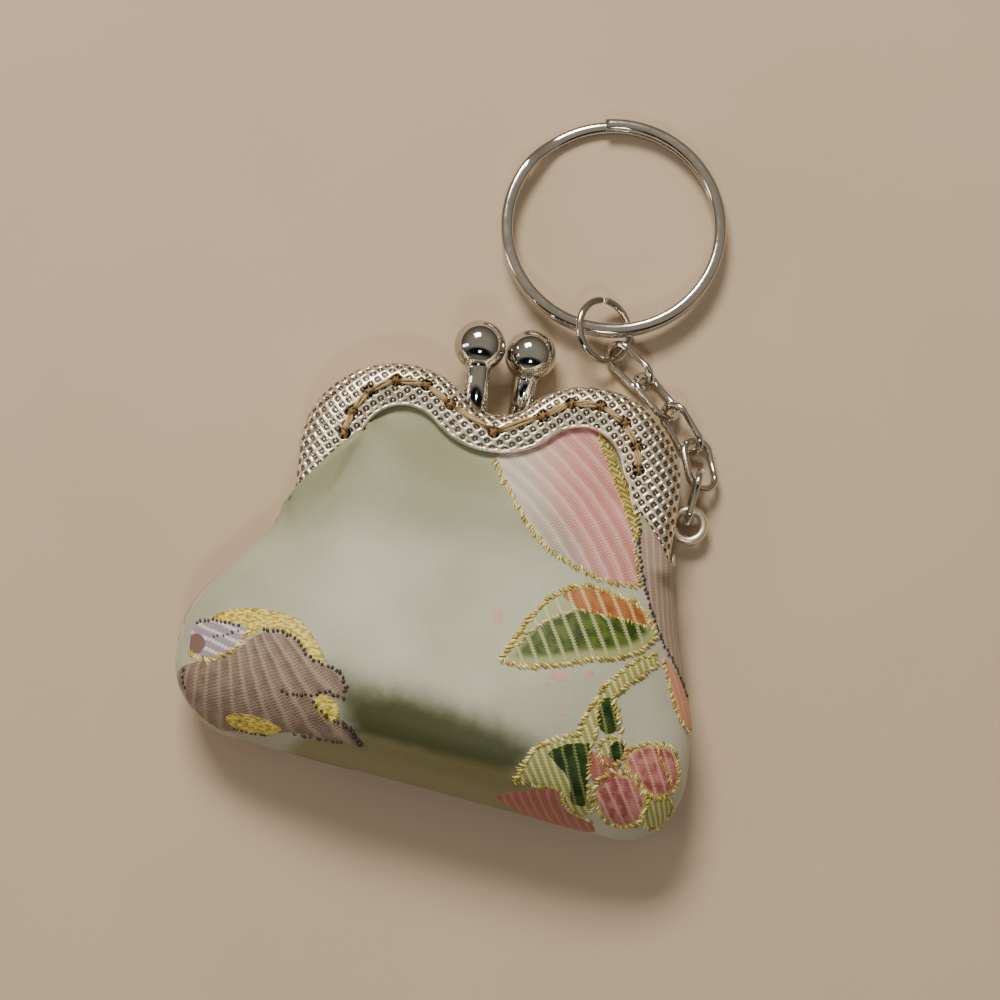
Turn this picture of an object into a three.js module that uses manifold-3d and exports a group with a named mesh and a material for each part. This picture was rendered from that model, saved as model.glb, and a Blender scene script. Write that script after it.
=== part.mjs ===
// A small purse of patterned satin with a sprung metal frame, lying on its back, and its chain and key ring.
// Millimetres, +Z up. X runs across the purse and +Y from its bottom edge to the clasp.
// It is laid out around the middle of the frame, and the finished group is moved so that
// the origin is below the middle of everything, on the surface that it lies on.

import * as THREE from 'three';
import { mergeVertices } from 'three/addons/utils/BufferGeometryUtils.js';
import Module from 'manifold-3d';

const wasm = await Module();
wasm.setup();

// Metal frame: two M-shaped halves, each a channel bent from sheet
const frameWidth = 50;
const archRadius = 12.4;
const dipRadius = 5.4;
const armLength = 10.5;
const armLean = 2.5;
const halfDepth = 4.5;
const halfGap = 0.3;
const sheetWall = 0.8;
const faceWidth = 5.75;
const faceSag = 0.2;
const returnShare = 0.72;
const rimShare = 0.9;
const rimHeight = 2.6;
const rimSteps = 4;
const metalClear = 0.3;

// Width of the face and place of the sewing holes, as shares of faceWidth,
// at shares of the way from the dip to the end of an arm
const frameWidths = [
  { along: 0.0, face: 0.9, stitch: 0.47 },
  { along: 0.31, face: 1.0, stitch: 0.45 },
  { along: 0.44, face: 1.12, stitch: 0.6 },
  { along: 0.57, face: 1.24, stitch: 0.82 },
  { along: 0.7, face: 1.28, stitch: 0.98 },
  { along: 0.86, face: 0.97, stitch: 0.7 },
  { along: 1.0, face: 0.62, stitch: 0.42 },
];

// Sewing holes through both plates of each half
const holeDiameter = 1.0;
const holePitch = 5.0;
const holesEachSide = 6;
const holeSides = 6;

// Hinge rivets, through both halves at the ends of the arms
const rivetDiameter = 1.6;
const rivetHeadDiameter = 2.6;
const rivetHeadHeight = 0.5;
const rivetLength = 2.2;
const rivetInset = 1.5;

// Clasp: two balls on posts that pass each other
const ballDiameter = 6.8;
const ballReach = 9.0;
const ballGap = 0.3;
const ballStagger = 2.4;
const postDiameter = 3.3;
const postSpread = 5.6;

// Cloth pouch
const clothWall = 1.2;
const clothClear = 0.3;
const lipShare = 0.85;
const pouchWidth = 68;
const pouchDrop = 32;
const pouchDepth = 19.5;
const bottomRound = 9.5;
const bottomTilt = 7.7;
const bottomLineShare = 0.42;
const sideFullness = 2.8;
const faceFullness = 2.1;
const backFullness = 4;
const backSag = 0.8;
const easeReach = 7;
const easeStart = 0.8;
const pouchColumns = 20;

// Sections of the pouch: how far down from the ends of the arms, as shares of pouchDrop,
// the widths to the left and right of the middle, as shares of pouchWidth,
// and the height of the front, as a share of pouchDepth
const pouchSections = [
  { down: -0.74, left: 0.37, right: 0.37, height: 0.45 },
  { down: -0.6, left: 0.37, right: 0.37, height: 0.47 },
  { down: -0.5, left: 0.37, right: 0.37, height: 0.5 },
  { down: -0.4, left: 0.37, right: 0.37, height: 0.54 },
  { down: -0.3, left: 0.37, right: 0.37, height: 0.57 },
  { down: -0.2, left: 0.37, right: 0.365, height: 0.6 },
  { down: -0.1, left: 0.37, right: 0.36, height: 0.63 },
  { down: -0.02, left: 0.373, right: 0.36, height: 0.66 },
  { down: 0.04, left: 0.385, right: 0.364, height: 0.69 },
  { down: 0.1, left: 0.418, right: 0.373, height: 0.72 },
  { down: 0.17, left: 0.446, right: 0.386, height: 0.76 },
  { down: 0.25, left: 0.472, right: 0.402, height: 0.8 },
  { down: 0.34, left: 0.502, right: 0.42, height: 0.85 },
  { down: 0.43, left: 0.524, right: 0.438, height: 0.9 },
  { down: 0.52, left: 0.537, right: 0.45, height: 0.95 },
  { down: 0.61, left: 0.543, right: 0.457, height: 0.985 },
  { down: 0.7, left: 0.544, right: 0.46, height: 1.0 },
];

// Rounded turn along the bottom edge
const turnSteps = 6;
const leftCornerShare = 0.6;
const rightCornerShare = 0.85;

// Soft hollows (negative) and swells (positive) of the front, as shares of pouchWidth,
// of pouchDrop and of pouchDepth
const pouchFolds = [
  { across: -0.3, down: 0.12, reach: 0.13, rise: 0.05 },
  { across: 0.0, down: 0.05, reach: 0.12, rise: -0.05 },
  { across: -0.12, down: 0.45, reach: 0.2, rise: 0.03 },
  { across: 0.1, down: 0.3, reach: 0.16, rise: -0.03 },
  { across: 0.28, down: 0.2, reach: 0.12, rise: 0.035 },
  { across: -0.38, down: 0.6, reach: 0.14, rise: -0.05 },
  { across: 0.33, down: 0.75, reach: 0.14, rise: -0.04 },
];

// Loop soldered to the right arm, which the chain hangs from
const loopWire = 1.2;
const loopDiameter = 5.2;
const loopDown = 3.4;
const loopBite = 0.9;

// Chain of oval links
const linkWire = 1.0;
const linkLength = 8.0;
const linkWidth = 4.8;

// Route of the chain: middle of each link from the middle of the loop, as shares of linkLength
// across, along and above the table, then in degrees the way that the link points,
// how far its lower end drops, and its turn about its own length
const chainRoute = [
  { name: 'link_1', across: -1.275, along: 2.5125, above: 0.2625, heading: -39, drop: -5, turn: 43 },
  { name: 'link_2', across: -0.775, along: 2.0625, above: 0.25, heading: -44, drop: 0, turn: -44 },
  { name: 'link_3', across: -0.3, along: 1.575, above: 0.2625, heading: -52, drop: 4, turn: 45 },
  { name: 'link_4', across: 0.0625, along: 1.025, above: 0.275, heading: -72, drop: -11, turn: -26 },
  { name: 'link_5', across: 0.025, along: 0.45, above: 0.375, heading: -98, drop: 10, turn: 90 },
];

// Open ring between the chain and the key ring
const jumpWire = 1.0;
const jumpDiameter = 9.2;
const jumpGapDegrees = 9;
const jumpTilt = 35;
const jumpHeading = 8;
const jumpRoute = { across: -1.7625, along: 3.0375, above: 0.375 };

// Key ring: flat wire wound in two turns, one on the other
const keyRingDiameter = 30;
const keyWireWidth = 1.6;
const keyWireHeight = 1.15;
const keyTurnGap = 0.2;
const keyStepDegrees = 26;
const keyStepAt = 140;
const keyTilt = 3.3;
const keyHeading = 92;
const keySidesPerTurn = 36;

const degrees = Math.PI / 180;
const frameDepth = 2 * halfDepth + halfGap;
const frameMiddle = frameDepth / 2;
const archX = frameWidth / 2 - archRadius;
const dipY = Math.sqrt((archRadius + dipRadius) ** 2 - archX ** 2);
const archSweep = Math.PI - Math.atan2(dipY, archX);
const dipSweep = archSweep - Math.PI / 2;
const dipRun = dipRadius * dipSweep;
const archRun = archRadius * archSweep;
const halfRun = dipRun + archRun + armLength;
const armEnd = -armLength;
const loopX = frameWidth / 2 + loopDiameter / 2 - loopBite;

// Materials
function metal(name, colour, roughness) {
  return new THREE.MeshStandardMaterial({ name, color: colour, roughness, metalness: 1 });
}
const knurledNickel = metal('knurled_nickel', 0xb9b4ab, 0.35);
const polishedNickel = metal('polished_nickel', 0xc9c7c3, 0.12);
const ringNickel = metal('ring_nickel', 0xbdbab5, 0.2);
const satin = new THREE.MeshStandardMaterial({ name: 'satin', color: 0xaab09a, roughness: 0.55 });

// Value of one column of a table at a share along it, with straight steps between rows
function fromTable(table, key, place, column) {
  let low = table[0];
  for (const row of table) {
    if (place < row[key]) {
      const share = Math.max(0, (place - low[key]) / (row[key] - low[key]));
      return low[column] + (row[column] - low[column]) * share;
    }
    low = row;
  }
  return low[column];
}

// Widths of the frame at a distance along its outer edge from the dip
function widthsAt(distance) {
  const along = Math.min(1, Math.abs(distance) / halfRun);
  const face = faceWidth * fromTable(frameWidths, 'along', along, 'face');
  const stitch = faceWidth * fromTable(frameWidths, 'along', along, 'stitch');
  return { face, stitch, rim: rimShare * stitch };
}

// Point of the frame's outer edge at a distance from the dip, positive to the right,
// with the direction that leads inwards
function outlineAt(distance) {
  const side = distance < 0 ? -1 : 1;
  const run = Math.abs(distance);
  let point;
  let inward;
  if (run < dipRun) {
    const turn = -Math.PI / 2 + run / dipRadius;
    inward = new THREE.Vector2(Math.cos(turn), Math.sin(turn));
    point = new THREE.Vector2(0, dipY).addScaledVector(inward, dipRadius);
  } else if (run < dipRun + archRun) {
    const turn = archSweep - (run - dipRun) / archRadius;
    inward = new THREE.Vector2(-Math.cos(turn), -Math.sin(turn));
    point = new THREE.Vector2(archX, 0).addScaledVector(inward, -archRadius);
  } else {
    const lean = armLean * degrees;
    inward = new THREE.Vector2(-Math.cos(lean), Math.sin(lean));
    point = new THREE.Vector2(frameWidth / 2, 0);
    point.addScaledVector(new THREE.Vector2(-Math.sin(lean), -Math.cos(lean)), run - dipRun - archRun);
  }
  point.x *= side;
  inward.x *= side;
  return { point, inward, ...widthsAt(distance) };
}

// Distances along the outer edge at which the frame has a section
function frameStations() {
  const right = [];
  const spans = [
    { from: 0, length: dipRun, steps: 4 },
    { from: dipRun, length: archRun, steps: 11 },
    { from: dipRun + archRun, length: armLength, steps: 3 },
  ];
  for (const { from, length, steps } of spans) {
    for (let i = 1; i <= steps; i += 1) {
      right.push(from + (length * i) / steps);
    }
  }
  const left = right.map((distance) => -distance).reverse();
  return [...left, 0, ...right].map(outlineAt);
}

// How far a point lies inside the frame's outer edge, and how far along that edge
function insideFrame(x, y) {
  const across = Math.abs(x);
  const fromDip = Math.hypot(across, y - dipY);
  const fromArch = Math.hypot(across - archX, y);
  const besideDip = across * dipY + (y - dipY) * archX < 0;
  if (y < 0 && across > archX) {
    return { depth: frameWidth / 2 - across, distance: dipRun + archRun - y };
  }
  if (besideDip || y < 0) {
    const turn = Math.atan2(across, Math.max(1e-6, dipY - y));
    return { depth: fromDip - dipRadius, distance: dipRadius * Math.min(dipSweep, turn) };
  }
  const turn = Math.atan2(y, across - archX);
  return { depth: archRadius - fromArch, distance: dipRun + archRadius * (archSweep - turn) };
}

// Geometry from vertices and triangles
function meshOf(points, triangles) {
  const geometry = new THREE.BufferGeometry();
  geometry.setAttribute('position', new THREE.Float32BufferAttribute(points, 3));
  geometry.setIndex(triangles);
  return geometry;
}

// Solid that manifold-3d can join and cut, from a closed geometry
function solidOf(geometry) {
  const bare = geometry.clone();
  bare.deleteAttribute('normal');
  bare.deleteAttribute('uv');
  const merged = mergeVertices(bare, 1e-4);
  const mesh = new wasm.Mesh({
    numProp: 3,
    vertProperties: new Float32Array(merged.attributes.position.array),
    triVerts: new Uint32Array(merged.index.array),
  });
  return new wasm.Manifold(mesh);
}

function geometryOf(solid) {
  const { vertProperties, triVerts } = solid.getMesh();
  return meshOf(Array.from(vertProperties), Array.from(triVerts));
}

// Cylinder between two points
function rod(start, end, startRadius, endRadius, sides) {
  const length = start.distanceTo(end);
  const geometry = new THREE.CylinderGeometry(endRadius, startRadius, length, sides);
  const direction = end.clone().sub(start).normalize();
  geometry.applyQuaternion(new THREE.Quaternion().setFromUnitVectors(new THREE.Vector3(0, 1, 0), direction));
  const middle = start.clone().add(end).multiplyScalar(0.5);
  geometry.translate(middle.x, middle.y, middle.z);
  return geometry;
}

// Prism over an outline in X and Y, between two heights
function prism(outline, bottom, top) {
  const extent = { depth: top - bottom, bevelEnabled: false };
  const geometry = new THREE.ExtrudeGeometry(new THREE.Shape(outline), extent);
  geometry.translate(0, 0, bottom);
  return geometry;
}

// Open skin over sections that all have the same number of points
function skin(sections) {
  const count = sections[0].length;
  const points = sections.flat().flatMap((point) => [point.x, point.y, point.z]);
  const triangles = [];
  for (let i = 0; i + 1 < sections.length; i += 1) {
    for (let j = 0; j < count; j += 1) {
      const next = (j + 1) % count;
      const a = i * count + j;
      const b = i * count + next;
      triangles.push(a, b, a + count, b, b + count, a + count);
    }
  }
  return { points, triangles, count };
}

// Section of a channel: how far in from its outer edge, and how high above the plane
// where the halves meet
function channelSection(face, rim) {
  const section = [[sheetWall / 2, 0], [0, sheetWall / 2]];
  const shoulder = halfDepth - rimHeight;
  for (let i = 0; i <= rimSteps; i += 1) {
    const turn = (i / rimSteps) * (Math.PI / 2);
    section.push([rim * (1 - Math.cos(turn)), shoulder + rimHeight * Math.sin(turn)]);
  }
  section.push([face, halfDepth - faceSag]);
  section.push([face, halfDepth - faceSag - sheetWall]);
  for (let i = rimSteps; i >= 0; i -= 1) {
    const turn = (i / rimSteps) * (Math.PI / 2);
    const inner = rim - (rim - sheetWall) * Math.cos(turn);
    section.push([inner, shoulder + (rimHeight - sheetWall) * Math.sin(turn)]);
  }
  section.push([sheetWall, sheetWall]);
  section.push([face * returnShare, sheetWall]);
  section.push([face * returnShare, 0]);
  return section;
}

// One half of the frame; side is 1 for the front and -1 for the back
function frameHalf(side) {
  const level = frameMiddle + (side * halfGap) / 2;
  const sections = frameStations().map(({ point, inward, face, rim }) =>
    channelSection(face, rim).map(([depth, height]) => {
      const place = point.clone().addScaledVector(inward, depth);
      return new THREE.Vector3(place.x, place.y, level + side * height);
    }),
  );
  const { points, triangles, count } = skin(sections);
  const outline = channelSection(faceWidth, rimShare * faceWidth * frameWidths[0].stitch);
  const flat = outline.map(([depth, height]) => new THREE.Vector2(depth, height));
  const last = (sections.length - 1) * count;
  for (const [a, b, c] of THREE.ShapeUtils.triangulateShape(flat, [])) {
    triangles.push(a, b, c);
    triangles.push(last + a, last + c, last + b);
  }
  const geometry = meshOf(points, triangles);
  if (side < 0) {
    const index = geometry.index.array;
    for (let i = 0; i < index.length; i += 3) {
      [index[i], index[i + 1]] = [index[i + 1], index[i]];
    }
  }
  return geometry;
}

// Sewing holes and rivet seats of one half
function frameHoles(side) {
  const cuts = [];
  for (let i = -holesEachSide; i <= holesEachSide; i += 1) {
    const { point, inward, stitch } = outlineAt(i * holePitch);
    const place = point.clone().addScaledVector(inward, stitch);
    const start = new THREE.Vector3(place.x, place.y, frameMiddle);
    const end = new THREE.Vector3(place.x, place.y, frameMiddle + side * (halfDepth + halfGap + 1));
    cuts.push(solidOf(rod(start, end, holeDiameter / 2, holeDiameter / 2, holeSides)));
  }
  for (const hand of [-1, 1]) {
    cuts.push(solidOf(rivet(hand, metalClear)));
  }
  return wasm.Manifold.union(cuts);
}

// Rivet of one hinge, grown all round by a clearance where it is used to cut its seat
function rivet(hand, growth) {
  const { point } = outlineAt(dipRun + archRun + armLength - rivetInset);
  const outer = point.x + metalClear;
  const shankEnd = new THREE.Vector3(hand * (point.x - rivetLength - growth), point.y, frameMiddle);
  const neck = new THREE.Vector3(hand * (outer + rivetHeadHeight / 2), point.y, frameMiddle);
  const headStart = new THREE.Vector3(hand * (outer - growth), point.y, frameMiddle);
  const headEnd = new THREE.Vector3(hand * (outer + rivetHeadHeight + growth), point.y, frameMiddle);
  const shankRadius = rivetDiameter / 2 + growth;
  const headRadius = rivetHeadDiameter / 2 + growth;
  const shank = solidOf(rod(shankEnd, neck, shankRadius, shankRadius, 12));
  const head = solidOf(rod(headStart, headEnd, headRadius, headRadius * 0.75, 12));
  return geometryOf(shank.add(head));
}

// Wire ring of 6-sided wire, pulled out lengthwise into an oval when stretch is above 0
function wireRing(meanRadius, wire, turns, stretch) {
  const geometry = new THREE.TorusGeometry(meanRadius, wire / 2, 6, turns);
  geometry.rotateZ(Math.PI / turns);
  const position = geometry.attributes.position;
  for (let i = 0; i < position.count; i += 1) {
    position.setX(i, position.getX(i) + Math.sign(position.getX(i)) * stretch);
  }
  return geometry;
}

// Loop for the chain, let into the outer wall of the right arm
function sideLoop() {
  const geometry = wireRing((loopDiameter - loopWire) / 2, loopWire, 14, 0);
  geometry.translate(loopX, -loopDown, halfDepth / 2);
  return solidOf(geometry);
}

// Strip that clears the inside of the arm, where the loop may not reach
function armHollow() {
  const inner = frameWidth / 2 - sheetWall * 1.1;
  const geometry = new THREE.BoxGeometry(loopDiameter, loopDiameter * 1.5, halfDepth);
  geometry.translate(inner - loopDiameter / 2, -loopDown, halfDepth / 2);
  return solidOf(geometry);
}

// Ball and post of one half; side is 1 for the front, on the left, and -1 for the back
function claspBall(side) {
  const across = Math.sqrt((ballDiameter + ballGap) ** 2 - ballStagger ** 2) / 2;
  const height = frameMiddle + (side * ballStagger) / 2;
  const dipEdge = dipY - dipRadius;
  const centre = new THREE.Vector3(-side * across, dipEdge + ballReach, height);
  const seatHeight = frameMiddle + (side * (halfGap + halfDepth)) / 2;
  const seat = new THREE.Vector3((-side * postSpread) / 2, dipEdge - 1, seatHeight);
  const ball = new THREE.SphereGeometry(ballDiameter / 2, 16, 12);
  ball.translate(centre.x, centre.y, centre.z);
  const post = rod(seat, centre, postDiameter / 2, postDiameter / 2 - 0.15, 14);
  return geometryOf(solidOf(ball).add(solidOf(post)).subtract(insideOutline(-metalClear)));
}

// Everything inside the outline of the frame, drawn in by a depth
function insideOutline(depth) {
  const line = frameStations().map(({ point, inward }) => point.clone().addScaledVector(inward, depth));
  return solidOf(prism(line, -1, frameDepth + 1));
}

// Cloth pouch as a solid block, drawn in by an inset
function pouchBlock(inset, extra) {
  const rows = [];
  for (const { down, left, right, height } of pouchSections) {
    rows.push({ down: down * pouchDrop, left: left * pouchWidth, right: right * pouchWidth, height, bend: 0 });
  }
  rows[0].down -= extra;
  const end = rows[rows.length - 1];
  const reach = pouchDrop - end.down - inset;
  for (let i = 1; i <= turnSteps; i += 1) {
    const bend = (i / turnSteps) * (Math.PI / 2);
    rows.push({
      down: end.down + reach * Math.sin(bend),
      left: end.left - bottomRound * leftCornerShare * (1 - Math.cos(bend)),
      right: end.right - bottomRound * rightCornerShare * (1 - Math.cos(bend)),
      height: 1,
      bend,
    });
  }
  const loops = rows.map((row) => pouchLoop(row, inset));
  const { points, triangles, count } = skin(loops);
  const mate = (j) => (count - j) % count;
  const last = (loops.length - 1) * count;
  for (let j = 0; j < pouchColumns; j += 1) {
    for (const [start, flip] of [[0, true], [last, false]]) {
      const corners = [j, j + 1, mate(j + 1), mate(j)].map((k) => start + k);
      const ordered = flip ? corners.reverse() : corners;
      triangles.push(ordered[0], ordered[1], ordered[2], ordered[0], ordered[2], ordered[3]);
    }
  }
  return solidOf(closedCopy(meshOf(points, triangles.reverse())));
}

// Copy of a geometry with shared corners merged and triangles of no area left out
function closedCopy(geometry) {
  const merged = mergeVertices(geometry, 1e-4);
  const index = Array.from(merged.index.array);
  const kept = [];
  for (let i = 0; i < index.length; i += 3) {
    const [a, b, c] = index.slice(i, i + 3);
    if (a !== b && b !== c && c !== a) {
      kept.push(a, b, c);
    }
  }
  merged.setIndex(kept);
  return merged;
}

// One closed loop of the pouch: the front from left to right, then the back from right to left
function pouchLoop(row, inset) {
  const loop = [];
  const share = Math.max(0, row.down / pouchDrop);
  const slope = Math.tan(bottomTilt * degrees) * share;
  const low = bottomLineShare * pouchDepth;
  for (let j = 0; j < 2 * pouchColumns; j += 1) {
    const front = j <= pouchColumns;
    const step = front ? j : 2 * pouchColumns - j;
    const across = -Math.cos((Math.PI * step) / pouchColumns);
    const width = (across < 0 ? row.left : row.right) - inset;
    const x = across * width;
    const y = armEnd - row.down - slope * x;
    const level = front
      ? frontHeight(x, y, across, row, low) - inset * Math.cos(row.bend)
      : backHeight(x, y, across, row, low) + inset * Math.cos(row.bend);
    loop.push(new THREE.Vector3(x, y, level));
  }
  return loop;
}

// 0 under the frame, growing to 1 a little way out of it
function freeOfFrame(x, y) {
  const { depth, distance } = insideFrame(x, y);
  const out = Math.max(depth - widthsAt(distance).face, armEnd - y) - easeStart;
  return THREE.MathUtils.smoothstep(out, 0, easeReach);
}

function frontHeight(x, y, across, row, low) {
  const crown = (1 - Math.abs(across) ** sideFullness) ** (1 / faceFullness);
  let folds = 0;
  for (const fold of pouchFolds) {
    const aside = x / pouchWidth - fold.across;
    const below = (armEnd - y - fold.down * pouchDrop) / pouchWidth;
    folds += fold.rise * Math.exp(-(aside ** 2 + below ** 2) / fold.reach ** 2);
  }
  const middle = THREE.MathUtils.lerp(frameMiddle, low, Math.min(1, Math.max(0, row.down / pouchDrop)));
  const full = middle + ((row.height + folds) * pouchDepth - middle) * crown * Math.cos(row.bend);
  const lip = frameDepth - faceSag - sheetWall - clothClear;
  const lipCrown = middle + (lip - middle) * Math.min(1, crown * 1.6);
  return THREE.MathUtils.lerp(lipCrown, full, freeOfFrame(x, y));
}

function backHeight(x, y, across, row, low) {
  const crown = (1 - Math.abs(across) ** backFullness) ** (1 / faceFullness);
  const middle = THREE.MathUtils.lerp(frameMiddle, low, Math.min(1, Math.max(0, row.down / pouchDrop)));
  const full = middle - (middle + backSag) * crown * Math.cos(row.bend);
  const lip = faceSag + sheetWall + clothClear;
  const lipCrown = middle + (lip - middle) * Math.min(1, crown * 1.6);
  return Math.max(0, THREE.MathUtils.lerp(lipCrown, full, freeOfFrame(x, y)));
}

// Hollow pouch whose two lips run up into the channels of the frame
function pouch() {
  const outer = pouchBlock(0, 0);
  const inner = pouchBlock(clothWall, 2);
  const beyond = frameWidth;
  const mouthEnd = armEnd - clothClear;
  const lipLine = frameStations().map(({ point, inward, rim }) =>
    point.clone().addScaledVector(inward, rim * lipShare),
  );
  const outside = [
    new THREE.Vector2(-beyond, mouthEnd),
    new THREE.Vector2(lipLine[0].x, mouthEnd),
    ...lipLine,
    new THREE.Vector2(lipLine[lipLine.length - 1].x, mouthEnd),
    new THREE.Vector2(beyond, mouthEnd),
    new THREE.Vector2(beyond, beyond),
    new THREE.Vector2(-beyond, beyond),
  ];
  const trim = solidOf(prism(outside, -1, frameDepth * 3));
  const lipBottom = faceSag + sheetWall + clothClear + clothWall;
  const slit = new THREE.BoxGeometry(2 * beyond, 2 * beyond, frameDepth - 2 * lipBottom);
  slit.translate(0, mouthEnd + beyond, frameMiddle);
  return geometryOf(outer.subtract(inner).subtract(trim).subtract(solidOf(slit)));
}

// Open ring between the chain and the key ring
function jumpRing() {
  const mean = (jumpDiameter - jumpWire) / 2;
  const gap = jumpGapDegrees * degrees;
  const steps = 20;
  const sections = [];
  for (let i = 0; i <= steps; i += 1) {
    const turn = Math.PI / 2 + gap / 2 + ((2 * Math.PI - gap) * i) / steps;
    sections.push(wireSection(turn, mean, 0, jumpWire / 2, jumpWire / 2, 6));
  }
  return cappedSkin(sections);
}

// Section across a wire that runs round the Z axis
function wireSection(turn, mean, height, halfWidth, halfHeight, sides) {
  const section = [];
  for (let k = 0; k < sides; k += 1) {
    const angle = (2 * Math.PI * (k + 0.5)) / sides;
    const radius = mean + halfWidth * Math.cos(angle);
    const level = height + halfHeight * Math.sin(angle);
    section.push(new THREE.Vector3(radius * Math.cos(turn), radius * Math.sin(turn), level));
  }
  return section.reverse();
}

function cappedSkin(sections) {
  const { points, triangles, count } = skin(sections);
  const last = (sections.length - 1) * count;
  for (let k = 1; k + 1 < count; k += 1) {
    triangles.push(0, k + 1, k);
    triangles.push(last, last + k, last + k + 1);
  }
  return meshOf(points, triangles);
}

// Key ring: the lower turn climbs on to the upper one at the step, where both ends of the wire are
function keyRing() {
  const mean = (keyRingDiameter - keyWireWidth) / 2;
  const rise = keyWireHeight + keyTurnGap;
  const step = keyStepDegrees * degrees;
  const full = 4 * Math.PI - 2 * step;
  const steps = Math.round((keySidesPerTurn * full) / (2 * Math.PI));
  const corner = Math.SQRT2 / 2;
  const sections = [];
  for (let i = 0; i <= steps; i += 1) {
    const turn = step / 2 + (full * i) / steps;
    const climb = THREE.MathUtils.smoothstep(turn, 2 * Math.PI - step / 2, 2 * Math.PI + step / 2);
    const height = (climb - 0.5) * rise;
    const place = turn + keyStepAt * degrees;
    sections.push(wireSection(place, mean, height, keyWireWidth * corner, keyWireHeight * corner, 4));
  }
  return cappedSkin(sections);
}

// Place of a link or ring, from its route
function alongChain({ across, along, above }) {
  const x = loopX + across * linkLength;
  const y = along * linkLength - loopDown;
  return new THREE.Vector3(x, y, above * linkLength);
}

function named(name, geometry, material) {
  const mesh = new THREE.Mesh(geometry, material);
  mesh.name = name;
  return mesh;
}

// Assembly
const purse = new THREE.Group();
purse.add(named('purse_body', pouch(), satin));

const frontHalf = solidOf(frameHalf(1)).subtract(frameHoles(1));
const loop = sideLoop().subtract(armHollow());
const backHalf = solidOf(frameHalf(-1)).subtract(frameHoles(-1)).add(loop);
purse.add(named('frame_front', geometryOf(frontHalf), knurledNickel));
purse.add(named('frame_back', geometryOf(backHalf), knurledNickel));
purse.add(named('hinge_rivet_left', rivet(-1, 0), knurledNickel));
purse.add(named('hinge_rivet_right', rivet(1, 0), knurledNickel));
purse.add(named('clasp_ball_front', claspBall(1), polishedNickel));
purse.add(named('clasp_ball_back', claspBall(-1), polishedNickel));

for (const { name, heading, drop, turn, ...route } of chainRoute) {
  const radius = (linkWidth - linkWire) / 2;
  const link = named(name, wireRing(radius, linkWire, 12, (linkLength - linkWidth) / 2), ringNickel);
  link.rotation.set(turn * degrees, drop * degrees, heading * degrees, 'ZYX');
  link.position.copy(alongChain(route));
  purse.add(link);
}

const jump = named('jump_ring', jumpRing(), ringNickel);
jump.rotation.set(0, jumpTilt * degrees, jumpHeading * degrees, 'ZYX');
jump.position.copy(alongChain(jumpRoute));
purse.add(jump);

const keyMean = (keyRingDiameter - keyWireWidth) / 2;
const key = named('split_ring', keyRing(), ringNickel);
key.rotation.set(-keyTilt * degrees, 0, 0);
const keyAway = keyHeading * degrees;
key.position.copy(jump.position);
key.position.x += keyMean * Math.cos(keyAway);
key.position.y += keyMean * Math.sin(keyAway);
key.position.z -= keyMean * Math.sin(keyTilt * degrees);
purse.add(key);

// The origin goes below the middle of everything
const box = new THREE.Box3().setFromObject(purse, true);
purse.position.set(-(box.min.x + box.max.x) / 2, -(box.min.y + box.max.y) / 2, -box.min.z);
purse.updateMatrixWorld(true);

export default purse;
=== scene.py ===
"""A small purse of patterned satin with a knurled metal frame, a chain and a key ring, on a table."""
import math

import bmesh
import bpy
import numpy as np
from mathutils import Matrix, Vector
from mathutils.bvhtree import BVHTree
from mathutils.kdtree import KDTree


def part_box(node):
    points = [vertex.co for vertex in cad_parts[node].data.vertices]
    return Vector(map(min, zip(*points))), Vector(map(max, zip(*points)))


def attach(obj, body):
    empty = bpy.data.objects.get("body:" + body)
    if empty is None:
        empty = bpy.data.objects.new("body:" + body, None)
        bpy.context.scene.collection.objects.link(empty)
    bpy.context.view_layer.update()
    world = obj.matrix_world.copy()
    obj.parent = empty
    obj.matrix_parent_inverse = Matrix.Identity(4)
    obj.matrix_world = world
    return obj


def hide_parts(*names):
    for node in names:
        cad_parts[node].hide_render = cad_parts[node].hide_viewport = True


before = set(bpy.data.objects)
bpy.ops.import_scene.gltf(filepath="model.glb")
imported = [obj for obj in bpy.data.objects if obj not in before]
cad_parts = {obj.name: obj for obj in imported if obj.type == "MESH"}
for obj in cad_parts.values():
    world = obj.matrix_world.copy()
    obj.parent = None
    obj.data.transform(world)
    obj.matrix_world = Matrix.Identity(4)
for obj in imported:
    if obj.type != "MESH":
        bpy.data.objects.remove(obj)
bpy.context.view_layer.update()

MM = 0.001

# Places taken from the frame, in millimetres around the middle of the metal frame
FRONT_LOW, FRONT_HIGH = (np.array(corner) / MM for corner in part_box("frame_front"))
BACK_LOW = np.array(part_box("frame_back")[0]) / MM
FRAME_WIDTH = FRONT_HIGH[0] - FRONT_LOW[0]
FRAME_DEPTH = FRONT_HIGH[2] - BACK_LOW[2]
FRAME_MIDDLE = FRAME_DEPTH / 2
HALF_DEPTH = FRONT_HIGH[2] - FRONT_LOW[2]
HALF_GAP = FRAME_DEPTH - 2 * HALF_DEPTH

# Metal frame, as its maker would give it
ARCH_RADIUS = 12.4
DIP_RADIUS = 5.4
ARM_LEAN = math.radians(2.5)
SHEET_WALL = 0.8
FACE_WIDTH = 5.75
FACE_SAG = 0.2
RETURN_SHARE = 0.72
RIM_SHARE = 0.9
RIM_HEIGHT = 2.6
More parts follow.
